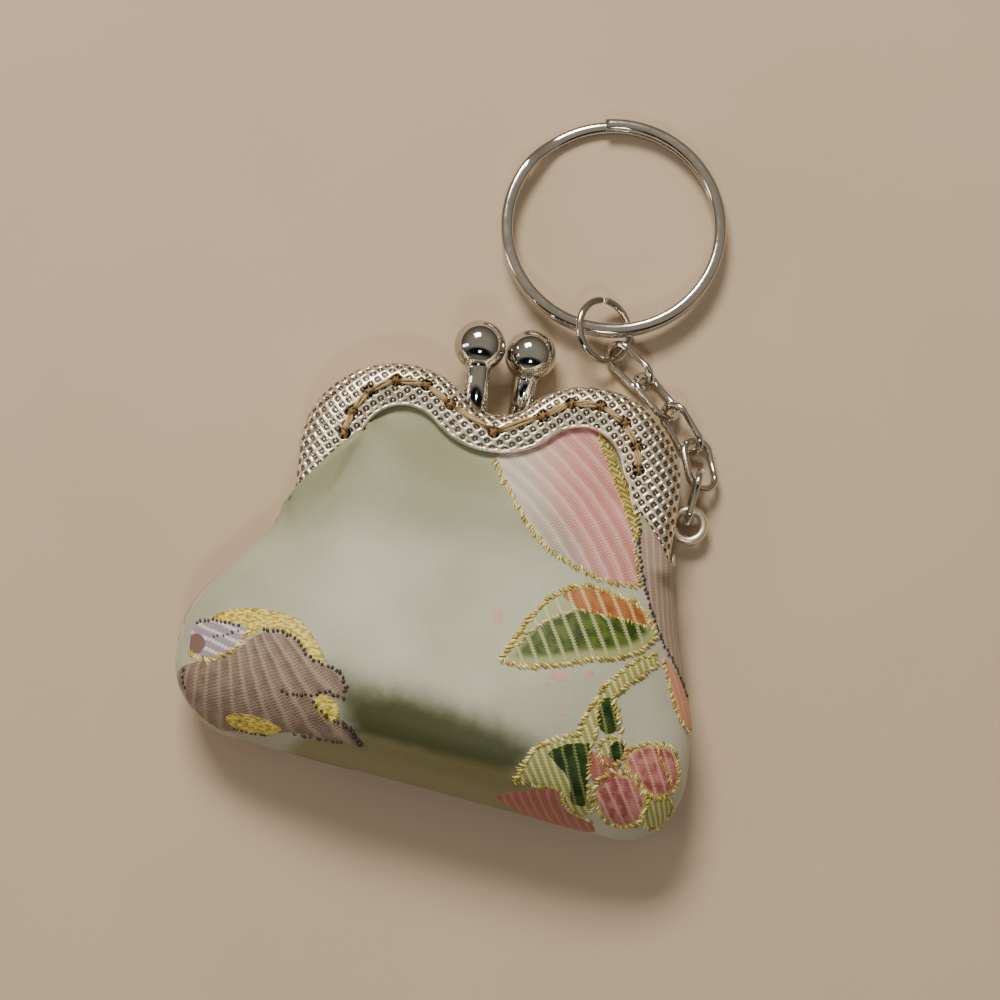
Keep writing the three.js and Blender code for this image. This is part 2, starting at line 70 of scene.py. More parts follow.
# share of the way from the dip to the end of an arm, width of the face, place of the sewing holes
FRAME_WIDTHS = np.array([
    (0.0, 0.9, 0.47),
    (0.31, 1.0, 0.45),
    (0.44, 1.12, 0.6),
    (0.57, 1.24, 0.82),
    (0.7, 1.28, 0.98),
    (0.86, 0.97, 0.7),
    (1.0, 0.62, 0.42),
])
ARCH_X = FRAME_WIDTH / 2 - ARCH_RADIUS
DIP_Y = math.sqrt((ARCH_RADIUS + DIP_RADIUS) ** 2 - ARCH_X ** 2)
ARCH_SWEEP = math.pi - math.atan2(DIP_Y, ARCH_X)
DIP_SWEEP = ARCH_SWEEP - math.pi / 2
DIP_RUN = DIP_RADIUS * DIP_SWEEP
ARCH_RUN = ARCH_RADIUS * ARCH_SWEEP
ARM_LENGTH = 10.5
HALF_RUN = DIP_RUN + ARCH_RUN + ARM_LENGTH
ARM_END = -ARM_LENGTH
HOLE_PITCH = 5.0
HOLES_EACH_SIDE = 6
HOLE_RADIUS = 0.8
SEWING_LIFT = [-1.0, -0.6, 0.05, 0.24, 0.3, 0.24, 0.05, -0.6, -1.0]

# The layout's zero point in the frame that everything shares
SHIFT = np.array([(FRONT_LOW[0] + FRONT_HIGH[0]) / 2, FRONT_HIGH[1] - ARCH_RADIUS, 0.0])

# Cloth pouch
CLOTH_WALL = 1.1
CLOTH_CLEAR = 0.3
LIP_SHARE = 0.85
POUCH_WIDTH = 68.0
POUCH_DROP = 32.0
POUCH_DEPTH = 19.5
BOTTOM_ROUND = 9.5
BOTTOM_TILT = math.radians(7.7)
BOTTOM_LINE_SHARE = 0.42
SIDE_FULLNESS = 2.8
FACE_FULLNESS = 2.1
BACK_FULLNESS = 4.0
BACK_SAG = 0.8
EASE_REACH = 7.0
EASE_START = 0.8
LEFT_CORNER = 0.95
RIGHT_CORNER = 0.9
# down from the ends of the arms, left, right, height of the front
POUCH_SECTIONS = np.array([
    (-0.74, 0.37, 0.37, 0.45),
    (-0.6, 0.37, 0.37, 0.47),
    (-0.5, 0.37, 0.37, 0.5),
    (-0.4, 0.37, 0.37, 0.54),
    (-0.3, 0.37, 0.37, 0.57),
    (-0.2, 0.375, 0.368, 0.6),
    (-0.1, 0.383, 0.369, 0.63),
    (-0.02, 0.392, 0.371, 0.66),
    (0.04, 0.403, 0.374, 0.69),
    (0.1, 0.424, 0.38, 0.72),
    (0.17, 0.448, 0.387, 0.76),
    (0.25, 0.472, 0.396, 0.8),
    (0.34, 0.502, 0.41, 0.85),
    (0.43, 0.524, 0.424, 0.9),
    (0.52, 0.535, 0.436, 0.95),
    (0.61, 0.54, 0.442, 0.985),
    (0.7, 0.541, 0.443, 1.0),
])
# across, down, reach, rise
POUCH_FOLDS = np.array([
    (-0.3, 0.12, 0.13, 0.05),
    (0.0, 0.05, 0.12, -0.05),
    (-0.12, 0.45, 0.2, 0.03),
    (0.1, 0.3, 0.16, -0.03),
    (0.28, 0.2, 0.12, 0.035),
    (-0.38, 0.6, 0.14, -0.05),
    (0.33, 0.75, 0.14, -0.04),
])

# Lines that the cloth swells to over the ends of the arms: along Y, then away from the middle
LEFT_COVER = np.array([
    (-12.0, 99.0),
    (-9.5, 28.5),
    (-8.0, 26.5),
    (-6.6, 24.9),
    (-4.0, 22.9),
    (-1.5, 20.9),
    (1.0, 18.7),
    (2.7, 17.2),
])
RIGHT_COVER = np.array([
    (-12.0, 99.0),
    (-10.2, 40.0),
    (-9.4, 24.2),
    (-5.8, 22.0),
    (-3.8, 20.4),
])
COVER_ROLL = 0.5
ROLL_END = 0.14
ROLL_GROWTH = 2.5
COVER_EASE = 2.2
COVER_TUCK = 1.0
COVER_CLEAR = 0.12
COVER_INSIDE = 0.7
COVER_SOFT = 0.5
# how far the cover falls off past the ends of the arms, and over which stretch
COVER_FALL = 6
COVER_FALL_RANGE = (0.3, 5.0)
COVER_INNER_EDGE = 3
EDGE_EASE = 0.15
OUTSIDE_FALL = 2.5
LIP_CROWN = 1.6
# smoothing of the front: clear of the frame, clear of the sides, passes, strength
RELAX_CLEAR = (0.4, 3.0)
RELAX_SIDES = (0.97, 0.85)
RELAX_PASSES = 60
RELAX_STEP = 0.8
# the cloth thins where it rolls under
THINNING = 0.7
THINNING_RANGE = (-4.0, -1.0)
SLOPE_STEP = 0.05

# Fineness: stations and points of the frame, then rows, rows of the turn and columns of the cloth
FRAME_DETAIL = (800, 42)
CLOTH_DETAIL = (116, 34, 116)
LINE_STEPS = 12
LINK_STEPS = 72
JUMP_STEPS = 90
KEY_STEPS = 320
WIRE_SIDES = 16
LOOP_STEPS = 48
LOOP_SIDES = 14
SEWING_SEED = 7

# Camera: where it looks, in millimetres of the shared frame, and how
VIEW_TARGET = (4.69, -5.9, 5.0)
VIEW_AZIMUTH = math.radians(7.3)
VIEW_ELEVATION = math.radians(81.5)
VIEW_DISTANCE = 369.5
VIEW_FOCAL_PIXELS = 2836
PHOTO_SIDE = 1000
SENSOR = 36.0
EDGE_LEVEL = 8.0


def srgb(red, green, blue):
    """Linear colour from the 0 to 255 values that a picture shows."""
    shares = [channel / 255 for channel in (red, green, blue)]
    return tuple(s / 12.92 if s <= 0.04045 else ((s + 0.055) / 1.055) ** 2.4 for s in shares) + (1.0,)


def smoothstep(low, high, value):
    share = np.clip((value - low) / (high - low), 0, 1)
    return share * share * (3 - 2 * share)


def smooth_columns(table, places):
    """Columns of a table at places along its first one, as a smooth curve through its rows."""
    keys = table[:, 0]
    values = table[:, 1:]
    slopes = np.gradient(values, keys, axis=0)
    index = np.clip(np.searchsorted(keys, places, side="right") - 1, 0, len(keys) - 2)
    step = (keys[index + 1] - keys[index])[:, None]
    share = np.clip((places - keys[index])[:, None] / step, 0, 1)
    start = values[index] * (1 + 2 * share) + slopes[index] * step * share
    end = values[index + 1] * (3 - 2 * share) + slopes[index + 1] * step * (share - 1)
    return start * (1 - share) ** 2 + end * share ** 2


# Camera
def view_axes():
    """The camera's place in millimetres, and its forward, right and up directions."""
    flat = math.cos(VIEW_ELEVATION)
    back = np.array([math.sin(VIEW_AZIMUTH) * flat, -math.cos(VIEW_AZIMUTH) * flat, math.sin(VIEW_ELEVATION)])
    right = np.array([math.cos(VIEW_AZIMUTH), math.sin(VIEW_AZIMUTH), 0.0])
    return np.array(VIEW_TARGET) + VIEW_DISTANCE * back, -back, right, np.cross(right, -back)


def make_camera():
    place, forward, _, _ = view_axes()
    data = bpy.data.cameras.new("camera")
    data.sensor_width = SENSOR
    data.lens = SENSOR * VIEW_FOCAL_PIXELS / PHOTO_SIDE
    data.clip_start = 0.01
    camera = bpy.data.objects.new("camera", data)
    camera.location = Vector(place * MM)
    camera.rotation_euler = Vector(forward).to_track_quat("-Z", "Y").to_euler()
    bpy.context.scene.collection.objects.link(camera)
    bpy.context.scene.camera = camera


# Shader writing
class Shade:
    """A socket of a shader, which sums can be written with."""

    def __init__(self, graph, socket):
        self.graph = graph
        self.socket = socket

    def _with(self, operation, *values):
        return self.graph.node("ShaderNodeMath", {"operation": operation}, values)

    def __add__(self, other):
        return self._with("ADD", self, other)

    __radd__ = __add__

    def __mul__(self, other):
        return self._with("MULTIPLY", self, other)

    def __sub__(self, other):
        return self._with("SUBTRACT", self, other)

    def sine(self):
        return self._with("SINE", self)


class Graph:
    """The nodes of a material or of the world."""

    def __init__(self, tree):
        self.tree = tree

    def node(self, kind, settings=None, inputs=(), output=0):
        made = self.tree.nodes.new(kind)
        for key, value in (settings or {}).items():
            if key == "stops":
                self._ramp(made.color_ramp, value)
            else:
                setattr(made, key, value)
        pairs = inputs.items() if isinstance(inputs, dict) else enumerate(inputs)
        for key, value in pairs:
            self.feed(made.inputs[key], value)
        return Shade(self, made.outputs[output])

    def _ramp(self, ramp, stops):
        while len(ramp.elements) < len(stops):
            ramp.elements.new(0.5)
        for element, (place, colour) in zip(ramp.elements, stops):
            element.position = place
            element.color = colour

    def feed(self, socket, value):
        if isinstance(value, Shade):
            self.tree.links.new(value.socket, socket)
        else:
            socket.default_value = value

    def split(self, vector):
        parts = self.node("ShaderNodeSeparateXYZ", None, (vector,))
        return [Shade(self, socket) for socket in parts.socket.node.outputs]

    def join(self, x, y, z=0.0):
        return self.node("ShaderNodeCombineXYZ", None, (x, y, z))

    def vector(self, operation, *values, output=0):
        return self.node("ShaderNodeVectorMath", {"operation": operation}, values, output)

    def range(self, value, low, high, to_low=0.0, to_high=1.0):
        """From to_low where the value is at low, to to_high where it is at high, without corners."""
        settings = {"interpolation_type": "SMOOTHSTEP"}
        return self.node("ShaderNodeMapRange", settings, (value, low, high, to_low, to_high))

    def mix(self, share, first, second):
        return self.node("ShaderNodeMix", {"data_type": "RGBA"}, {0: share, 6: first, 7: second}, 2)

    def layered(self, colour, *layers):
        """A colour with others laid over it, each by its share."""
        for share, over in layers:
            colour = self.mix(share, colour, over)
        return colour

    def ramp(self, share, *stops):
        return self.node("ShaderNodeValToRGB", {"stops": stops}, (share,))


class Finish(Graph):
    """A material and the nodes of its surface."""

    def __init__(self, name, **constants):
        self.material = bpy.data.materials.new(name)
        self.material.use_nodes = True
        super().__init__(self.material.node_tree)
        self.shader = self.tree.nodes["Principled BSDF"]
        for key, value in constants.items():
            self.shader.inputs[key.replace("_", " ")].default_value = value

    def set(self, name, value):
        self.feed(self.shader.inputs[name], value)

    def attribute(self, name, output="Fac"):
        return self.node("ShaderNodeAttribute", {"attribute_name": name}, (), output)

    def place(self):
        return self.node("ShaderNodeTexCoord", None, (), "Object")

    def noise(self, vector, scale, detail=2.0):
        inputs = {"Vector": vector, "Scale": scale, "Detail": detail}
        return self.node("ShaderNodeTexNoise", None, inputs, "Fac")

    def bump(self, height, strength, distance):
        inputs = {"Strength": strength, "Distance": distance, "Height": height}
        self.set("Normal", self.node("ShaderNodeBump", None, inputs))


# Mesh making
def shared(points):
    """Metres of the shared frame, from layout millimetres. What would lie below the table is put on it."""
    points = np.array(points)
    points[:, 2] = np.maximum(points[:, 2], 0)
    return (points + SHIFT) * MM


def make_object(name, points, faces, material):
    mesh = bpy.data.meshes.new(name)
    mesh.from_pydata(shared(points).tolist(), [], faces)
    mesh.validate()
    mesh.polygons.foreach_set("use_smooth", [True] * len(mesh.polygons))
    mesh.materials.append(material)
    made = bpy.data.objects.new(name, mesh)
    bpy.context.scene.collection.objects.link(made)
    return made


def keep(piece, name, values):
    """Keep a number, or a row of three, for each point of a piece, for its material to read."""
    kind, field = ("FLOAT", "value") if values.ndim == 1 else ("FLOAT_VECTOR", "vector")
    piece.data.attributes.new(name, kind, "POINT").data.foreach_set(field, values.reshape(-1))


def ring_faces(rings, sides, closed=False, capped=False):
    """Faces between rings of points, each ring joined to the next."""
    faces = []
    for i in range(rings if closed else rings - 1):
        for j in range(sides):
            here = i * sides
            after = ((i + 1) % rings) * sides
            k = (j + 1) % sides
            faces.append((here + j, here + k, after + k, after + j))
    if capped:
        faces.append(tuple(range(sides)))
        faces.append(tuple(reversed(range((rings - 1) * sides, rings * sides))))
    return faces


def flipped(faces):
    return [tuple(reversed(face)) for face in faces]


def turns(count, half_step=False):
    """Angles of a full circle in equal steps, from its start or from half a step past it."""
    return 2 * np.pi * (np.arange(count) + (0.5 if half_step else 0)) / count


def round_path(radius, turn):
    return np.stack([radius * np.cos(turn), radius * np.sin(turn), 0 * turn], 1)


def join_parts(parts):
    """One list of points and one of faces from several."""
    points = []
    faces = []
    count = 0
    for part_points, part_faces in parts:
        points.append(part_points)
        faces.extend(tuple(count + k for k in face) for face in part_faces)
        count += len(part_points)
    return np.concatenate(points), faces


def tube(path, radius, sides, closed=False, squash=1.0, up=(0, 0, 1)):
    """Round tube along a path, with capped ends unless it is closed. radius may differ along it."""
    path = np.asarray(path, float)
    count = len(path)
    radii = np.broadcast_to(np.asarray(radius, float), (count,))
    if closed:
        ahead = np.roll(path, -1, axis=0) - np.roll(path, 1, axis=0)
    else:
        ahead = np.gradient(path, axis=0)
    ahead /= np.linalg.norm(ahead, axis=1)[:, None]
    ups = np.broadcast_to(np.asarray(up, float), (count, 3))
    side = np.cross(ahead, ups)
    side /= np.maximum(np.linalg.norm(side, axis=1)[:, None], 1e-9)
    top = np.cross(side, ahead)
    turn = turns(sides)
    ring = (
        np.cos(turn)[None, :, None] * side[:, None, :]
        + squash * np.sin(turn)[None, :, None] * top[:, None, :]
    )
    points = path[:, None, :] + ring * radii[:, None, None]
    return points.reshape(-1, 3), flipped(ring_faces(count, sides, closed, not closed))


# Metal frame
def widths_at(distance):
    along = np.clip(np.abs(distance) / HALF_RUN, 0, 1)
    face, stitch = FACE_WIDTH * smooth_columns(FRAME_WIDTHS, along.reshape(-1)).T
    face = face.reshape(along.shape)
    stitch = stitch.reshape(along.shape)
    return face, stitch, RIM_SHARE * stitch


def outline_at(distance):
    """Points of the frame's outer edge and the directions that lead inwards from them."""
    distance = np.atleast_1d(np.asarray(distance, float))
    side = np.where(distance < 0, -1.0, 1.0)
    run = np.abs(distance)
    dip_turn = -np.pi / 2 + run / DIP_RADIUS
    arch_turn = ARCH_SWEEP - (run - DIP_RUN) / ARCH_RADIUS
    dip_in = np.stack([np.cos(dip_turn), np.sin(dip_turn)], 1)
    arch_in = -np.stack([np.cos(arch_turn), np.sin(arch_turn)], 1)
    arm_in = np.broadcast_to([-math.cos(ARM_LEAN), math.sin(ARM_LEAN)], arch_in.shape)
    arm_down = run - DIP_RUN - ARCH_RUN
    arm = np.stack([
        FRAME_WIDTH / 2 - math.sin(ARM_LEAN) * arm_down,
        -math.cos(ARM_LEAN) * arm_down,
    ], 1)
    on_dip = (run < DIP_RUN)[:, None]
    on_arch = (run < DIP_RUN + ARCH_RUN)[:, None]
    dip = np.array([0, DIP_Y]) + DIP_RADIUS * dip_in
    arch = np.array([ARCH_X, 0]) - ARCH_RADIUS * arch_in
    point = np.where(on_dip, dip, np.where(on_arch, arch, arm))
    inward = np.where(on_dip, dip_in, np.where(on_arch, arch_in, arm_in)).copy()
    point[:, 0] *= side
    inward[:, 0] *= side
    return point, inward


def inside_frame(x, y):
    """How far points lie inside the frame's outer edge, and how far along that edge."""
    across = np.abs(x)
    from_dip = np.hypot(across, y - DIP_Y)
    from_arch = np.hypot(across - ARCH_X, y)
    beside_dip = (across * DIP_Y + (y - DIP_Y) * ARCH_X < 0) | (y < 0)
    beside_arm = (y < 0) & (across > ARCH_X)
    dip_turn = np.minimum(DIP_SWEEP, np.arctan2(across, np.maximum(1e-6, DIP_Y - y)))
    arch_turn = np.arctan2(y, across - ARCH_X)
    depth = np.where(beside_dip, from_dip - DIP_RADIUS, ARCH_RADIUS - from_arch)
    on_arch = DIP_RUN + ARCH_RADIUS * (ARCH_SWEEP - arch_turn)
    distance = np.where(beside_dip, DIP_RADIUS * dip_turn, on_arch)
    depth = np.where(beside_arm, FRAME_WIDTH / 2 - across, depth)
    distance = np.where(beside_arm, DIP_RUN + ARCH_RUN - y, distance)
    return depth, distance


KNURL_CELL = 1.14
KNURL_TURN = math.radians(43)
KNURL_DEPTH = 0.2
KNURL_DOME = 0.07
KNURL_SQUARE = 4
# where the raised lines and the dots of the lattice rise, in halves of a cell
KNURL_LINE = (0.56, 0.74)
KNURL_DOT = (0.12, 0.46)
# how much of the pits' painted shade the tops of the dots are spared
DOT_SHINE = 0.4
PLAIN_RIM = 0.3
PLAIN_RIM_START = 0.7
CHANNEL_FOOT = 0.25
SAG_START = 0.3
INNER_STEPS = 8
# rolled edge of the face: out past it, and down as a share of the sheet
EDGE_BEAD = np.array([(0.12, 0.2), (0.16, 0.5), (0.12, 0.8), (0.0, 1.0)])
# sewing holes: where their edge falls, in radii, how deep, and how dark they are painted, as painted shade
# inside them
HOLE_EDGE = (0.75, 1.05)
HOLE_SINK = 0.85
HOLE_DARKNESS = 1.6


def knurl(x, y):
    """Height of the stamped lattice: square pits between raised lines, with a dot in each of them. Also how
    much each point is spared the painted shade of the pits: fully on the lines, partly on the dots.
    """
    p = (x * math.cos(KNURL_TURN) + y * math.sin(KNURL_TURN)) / KNURL_CELL
    q = (y * math.cos(KNURL_TURN) - x * math.sin(KNURL_TURN)) / KNURL_CELL
    a = 2 * np.abs(p - np.floor(p) - 0.5)
    b = 2 * np.abs(q - np.floor(q) - 0.5)
    wall = smoothstep(*KNURL_LINE, (a ** KNURL_SQUARE + b ** KNURL_SQUARE) ** (1 / KNURL_SQUARE))
    dome = 1 - smoothstep(*KNURL_DOT, np.hypot(a, b))
    return (wall - 1) * KNURL_DEPTH + dome * KNURL_DOME, np.maximum(wall, dome * DOT_SHINE)


def channel_section(face, rim, fine):
    """Section of the channel for each station: depth inwards, height, and how many points lie outside."""
    face = face[:, None]
    rim = rim[:, None]
    ones = np.ones_like(rim)
    shoulder = HALF_DEPTH - RIM_HEIGHT
    turn = np.linspace(0, np.pi / 2, fine)
    side_height = np.linspace(CHANNEL_FOOT, shoulder, max(3, fine // 2))[:-1]
    flat = np.linspace(0, 1, fine)[1:]
    outside = [
        (ones * CHANNEL_FOOT, ones * 0),
        (ones * (0 * side_height), ones * side_height),
        (rim * (1 - np.cos(turn)), ones * (shoulder + RIM_HEIGHT * np.sin(turn))),
        (rim + (face - rim) * flat, ones * (HALF_DEPTH - FACE_SAG * smoothstep(SAG_START, 1.0, flat))),
    ]
    turn = np.linspace(np.pi / 2, 0, INNER_STEPS)
    inner_radius = RIM_HEIGHT - SHEET_WALL
    back = face * RETURN_SHARE
    inside = [
        (face + EDGE_BEAD[:, 0], ones * (HALF_DEPTH - FACE_SAG - SHEET_WALL * EDGE_BEAD[:, 1])),
        (rim - (rim - SHEET_WALL) * np.cos(turn), ones * (shoulder + inner_radius * np.sin(turn))),
        (np.concatenate([ones * SHEET_WALL, back, back], 1), ones * np.array([SHEET_WALL, SHEET_WALL, 0.0])),
    ]
    depth, height = (np.concatenate(parts, 1) for parts in zip(*outside, *inside))
    return depth, height, sum(part.shape[1] for part, _ in outside)


def sewing_holes():
    """Middles of the sewing holes, from the left to the right."""
    distance = np.arange(-HOLES_EACH_SIDE, HOLES_EACH_SIDE + 1) * HOLE_PITCH
    point, inward = outline_at(distance)
    return point + inward * widths_at(distance)[1][:, None]


def knurled_half(side, stations, fine):
    """Points and faces of one half, and how much painted shade each point gets in the pits and the sewing
    holes.
    """
    distance = np.linspace(-HALF_RUN, HALF_RUN, stations)
    point, inward = outline_at(distance)
    face, _, rim = widths_at(distance)
    depth, height, outer_count = channel_section(face, rim, fine)
    count = depth.shape[1]
    step = np.hypot(np.diff(depth, axis=1), np.diff(height, axis=1))
    along = np.concatenate([np.zeros((stations, 1)), np.cumsum(step, 1)], 1)
    from_edge = along[:, outer_count - 1:outer_count] - along
    unrolled = point[:, None, :] + inward[:, None, :] * (face[:, None] - from_edge)[:, :, None]
    relief, wall = knurl(unrolled[..., 0], unrolled[..., 1])
    on_face = np.zeros((stations, count))
    on_face[:, :outer_count] = 1
    on_face *= smoothstep(PLAIN_RIM * PLAIN_RIM_START, PLAIN_RIM, from_edge)
    relief = relief * on_face
    # Painted shade deep in the pits, then darker still in the sewing holes
    pit = (1 - wall) * on_face
    plan = point[:, None, :] + inward[:, None, :] * depth[:, :, None]
    edge = [HOLE_RADIUS * share for share in HOLE_EDGE]
    for centre in sewing_holes():
        gap = np.hypot(plan[..., 0] - centre[0], plan[..., 1] - centre[1])
        hole = (1 - smoothstep(*edge, gap)) * (on_face > 0.5)
        relief = relief * (1 - hole) - hole * SHEET_WALL * HOLE_SINK
        pit = np.maximum(pit, hole * HOLE_DARKNESS)
    out_depth = np.gradient(height, axis=1)
    out_height = -np.gradient(depth, axis=1)
    size = np.maximum(np.hypot(out_depth, out_height), 1e-9)
    depth = depth - np.abs(out_depth / size) * relief * np.sign(out_depth)
    height = height + np.abs(out_height / size) * relief
    plan = point[:, None, :] + inward[:, None, :] * depth[:, :, None]
    level = FRAME_MIDDLE + side * (HALF_GAP / 2 + height)
    points = np.concatenate([plan, level[:, :, None]], 2).reshape(-1, 3)
    faces = ring_faces(stations, count, capped=True)
    return points, flipped(faces) if side > 0 else faces, pit.reshape(-1)


# Cloth pouch
def free_of_frame(x, y):
    depth, distance = inside_frame(x, y)
    out = np.maximum(depth - widths_at(distance)[0], ARM_END - y) - EASE_START
    return smoothstep(0, EASE_REACH, out)


def pouch_level(x, y, across, down, height, bend, front):
    share = np.clip(down / POUCH_DROP, 0, 1)
    middle = FRAME_MIDDLE + (BOTTOM_LINE_SHARE * POUCH_DEPTH - FRAME_MIDDLE) * share
    edge = SIDE_FULLNESS if front else BACK_FULLNESS
    crown = np.clip(1 - np.abs(across) ** edge, 0, 1) ** (1 / FACE_FULLNESS)
    if front:
        folds = 0
        for place, fold_down, reach, rise in POUCH_FOLDS:
            aside = x / POUCH_WIDTH - place
            below = (ARM_END - y - fold_down * POUCH_DROP) / POUCH_WIDTH
            folds = folds + rise * np.exp(-(aside ** 2 + below ** 2) / reach ** 2)
        full = middle + ((height + folds) * POUCH_DEPTH - middle) * crown * np.cos(bend)
        lip = FRAME_DEPTH - FACE_SAG - SHEET_WALL - CLOTH_CLEAR
    else:
        full = middle - (middle + BACK_SAG) * crown * np.cos(bend)
        lip = FACE_SAG + SHEET_WALL + CLOTH_CLEAR
    lip_crown = middle + (lip - middle) * np.minimum(1, crown * LIP_CROWN)
    free = free_of_frame(x, y)
    level = np.maximum(0, lip_crown + (full - lip_crown) * free)
    return (cover_level(x, y, level, full) if front else level), full


def in_both(left, right, x):
    """Values of the left side where x is below 0, and of the right side elsewhere."""
    return np.where(x < 0, left, right)


def cover_start(x):
    return in_both(LEFT_COVER[-1, 0], RIGHT_COVER[-1, 0], x)


def cover_roll(x, y):
    """Radius of the rolled edge. It tapers off toward its upper end, where the cloth lies on the frame."""
    start = cover_start(x)
    return ROLL_END + (COVER_ROLL - ROLL_END) * smoothstep(start, start - ROLL_GROWTH, y)


def frame_top(depth, rim):
    """Height of the front of the frame at a depth inside its outer edge, falling off steeply outside it."""
    shoulder = HALF_DEPTH - RIM_HEIGHT
    share = np.clip((rim - depth) / rim, 0, 1)
    height = shoulder + RIM_HEIGHT * np.sqrt(1 - share ** 2) + np.minimum(depth, 0) * OUTSIDE_FALL
    return FRAME_MIDDLE + HALF_GAP / 2 + height


def cover_level(x, y, level, full):
    """Height of the cloth where it swells over the ends of the arms."""
    depth, distance = inside_frame(x, y)
    face, _, rim = widths_at(distance)
    start = cover_start(x)
    past_arm = smoothstep(*COVER_FALL_RANGE, ARM_END - y) * COVER_FALL
    inside = np.maximum(depth - face, 0) * COVER_INSIDE
    over = frame_top(depth, rim) + 2 * cover_roll(x, y) + COVER_CLEAR - past_arm - inside
    high = np.maximum(full, over) + COVER_SOFT / 2 * np.exp(-np.abs(full - over) / COVER_SOFT)
    share = smoothstep(start + COVER_EASE, start, y)
    share = np.where(depth < face + EDGE_EASE, (y < start) * 1.0, share)
    share = share * smoothstep(ARCH_X - COVER_INNER_EDGE, ARCH_X, np.abs(x))
    return level + (high - level) * share


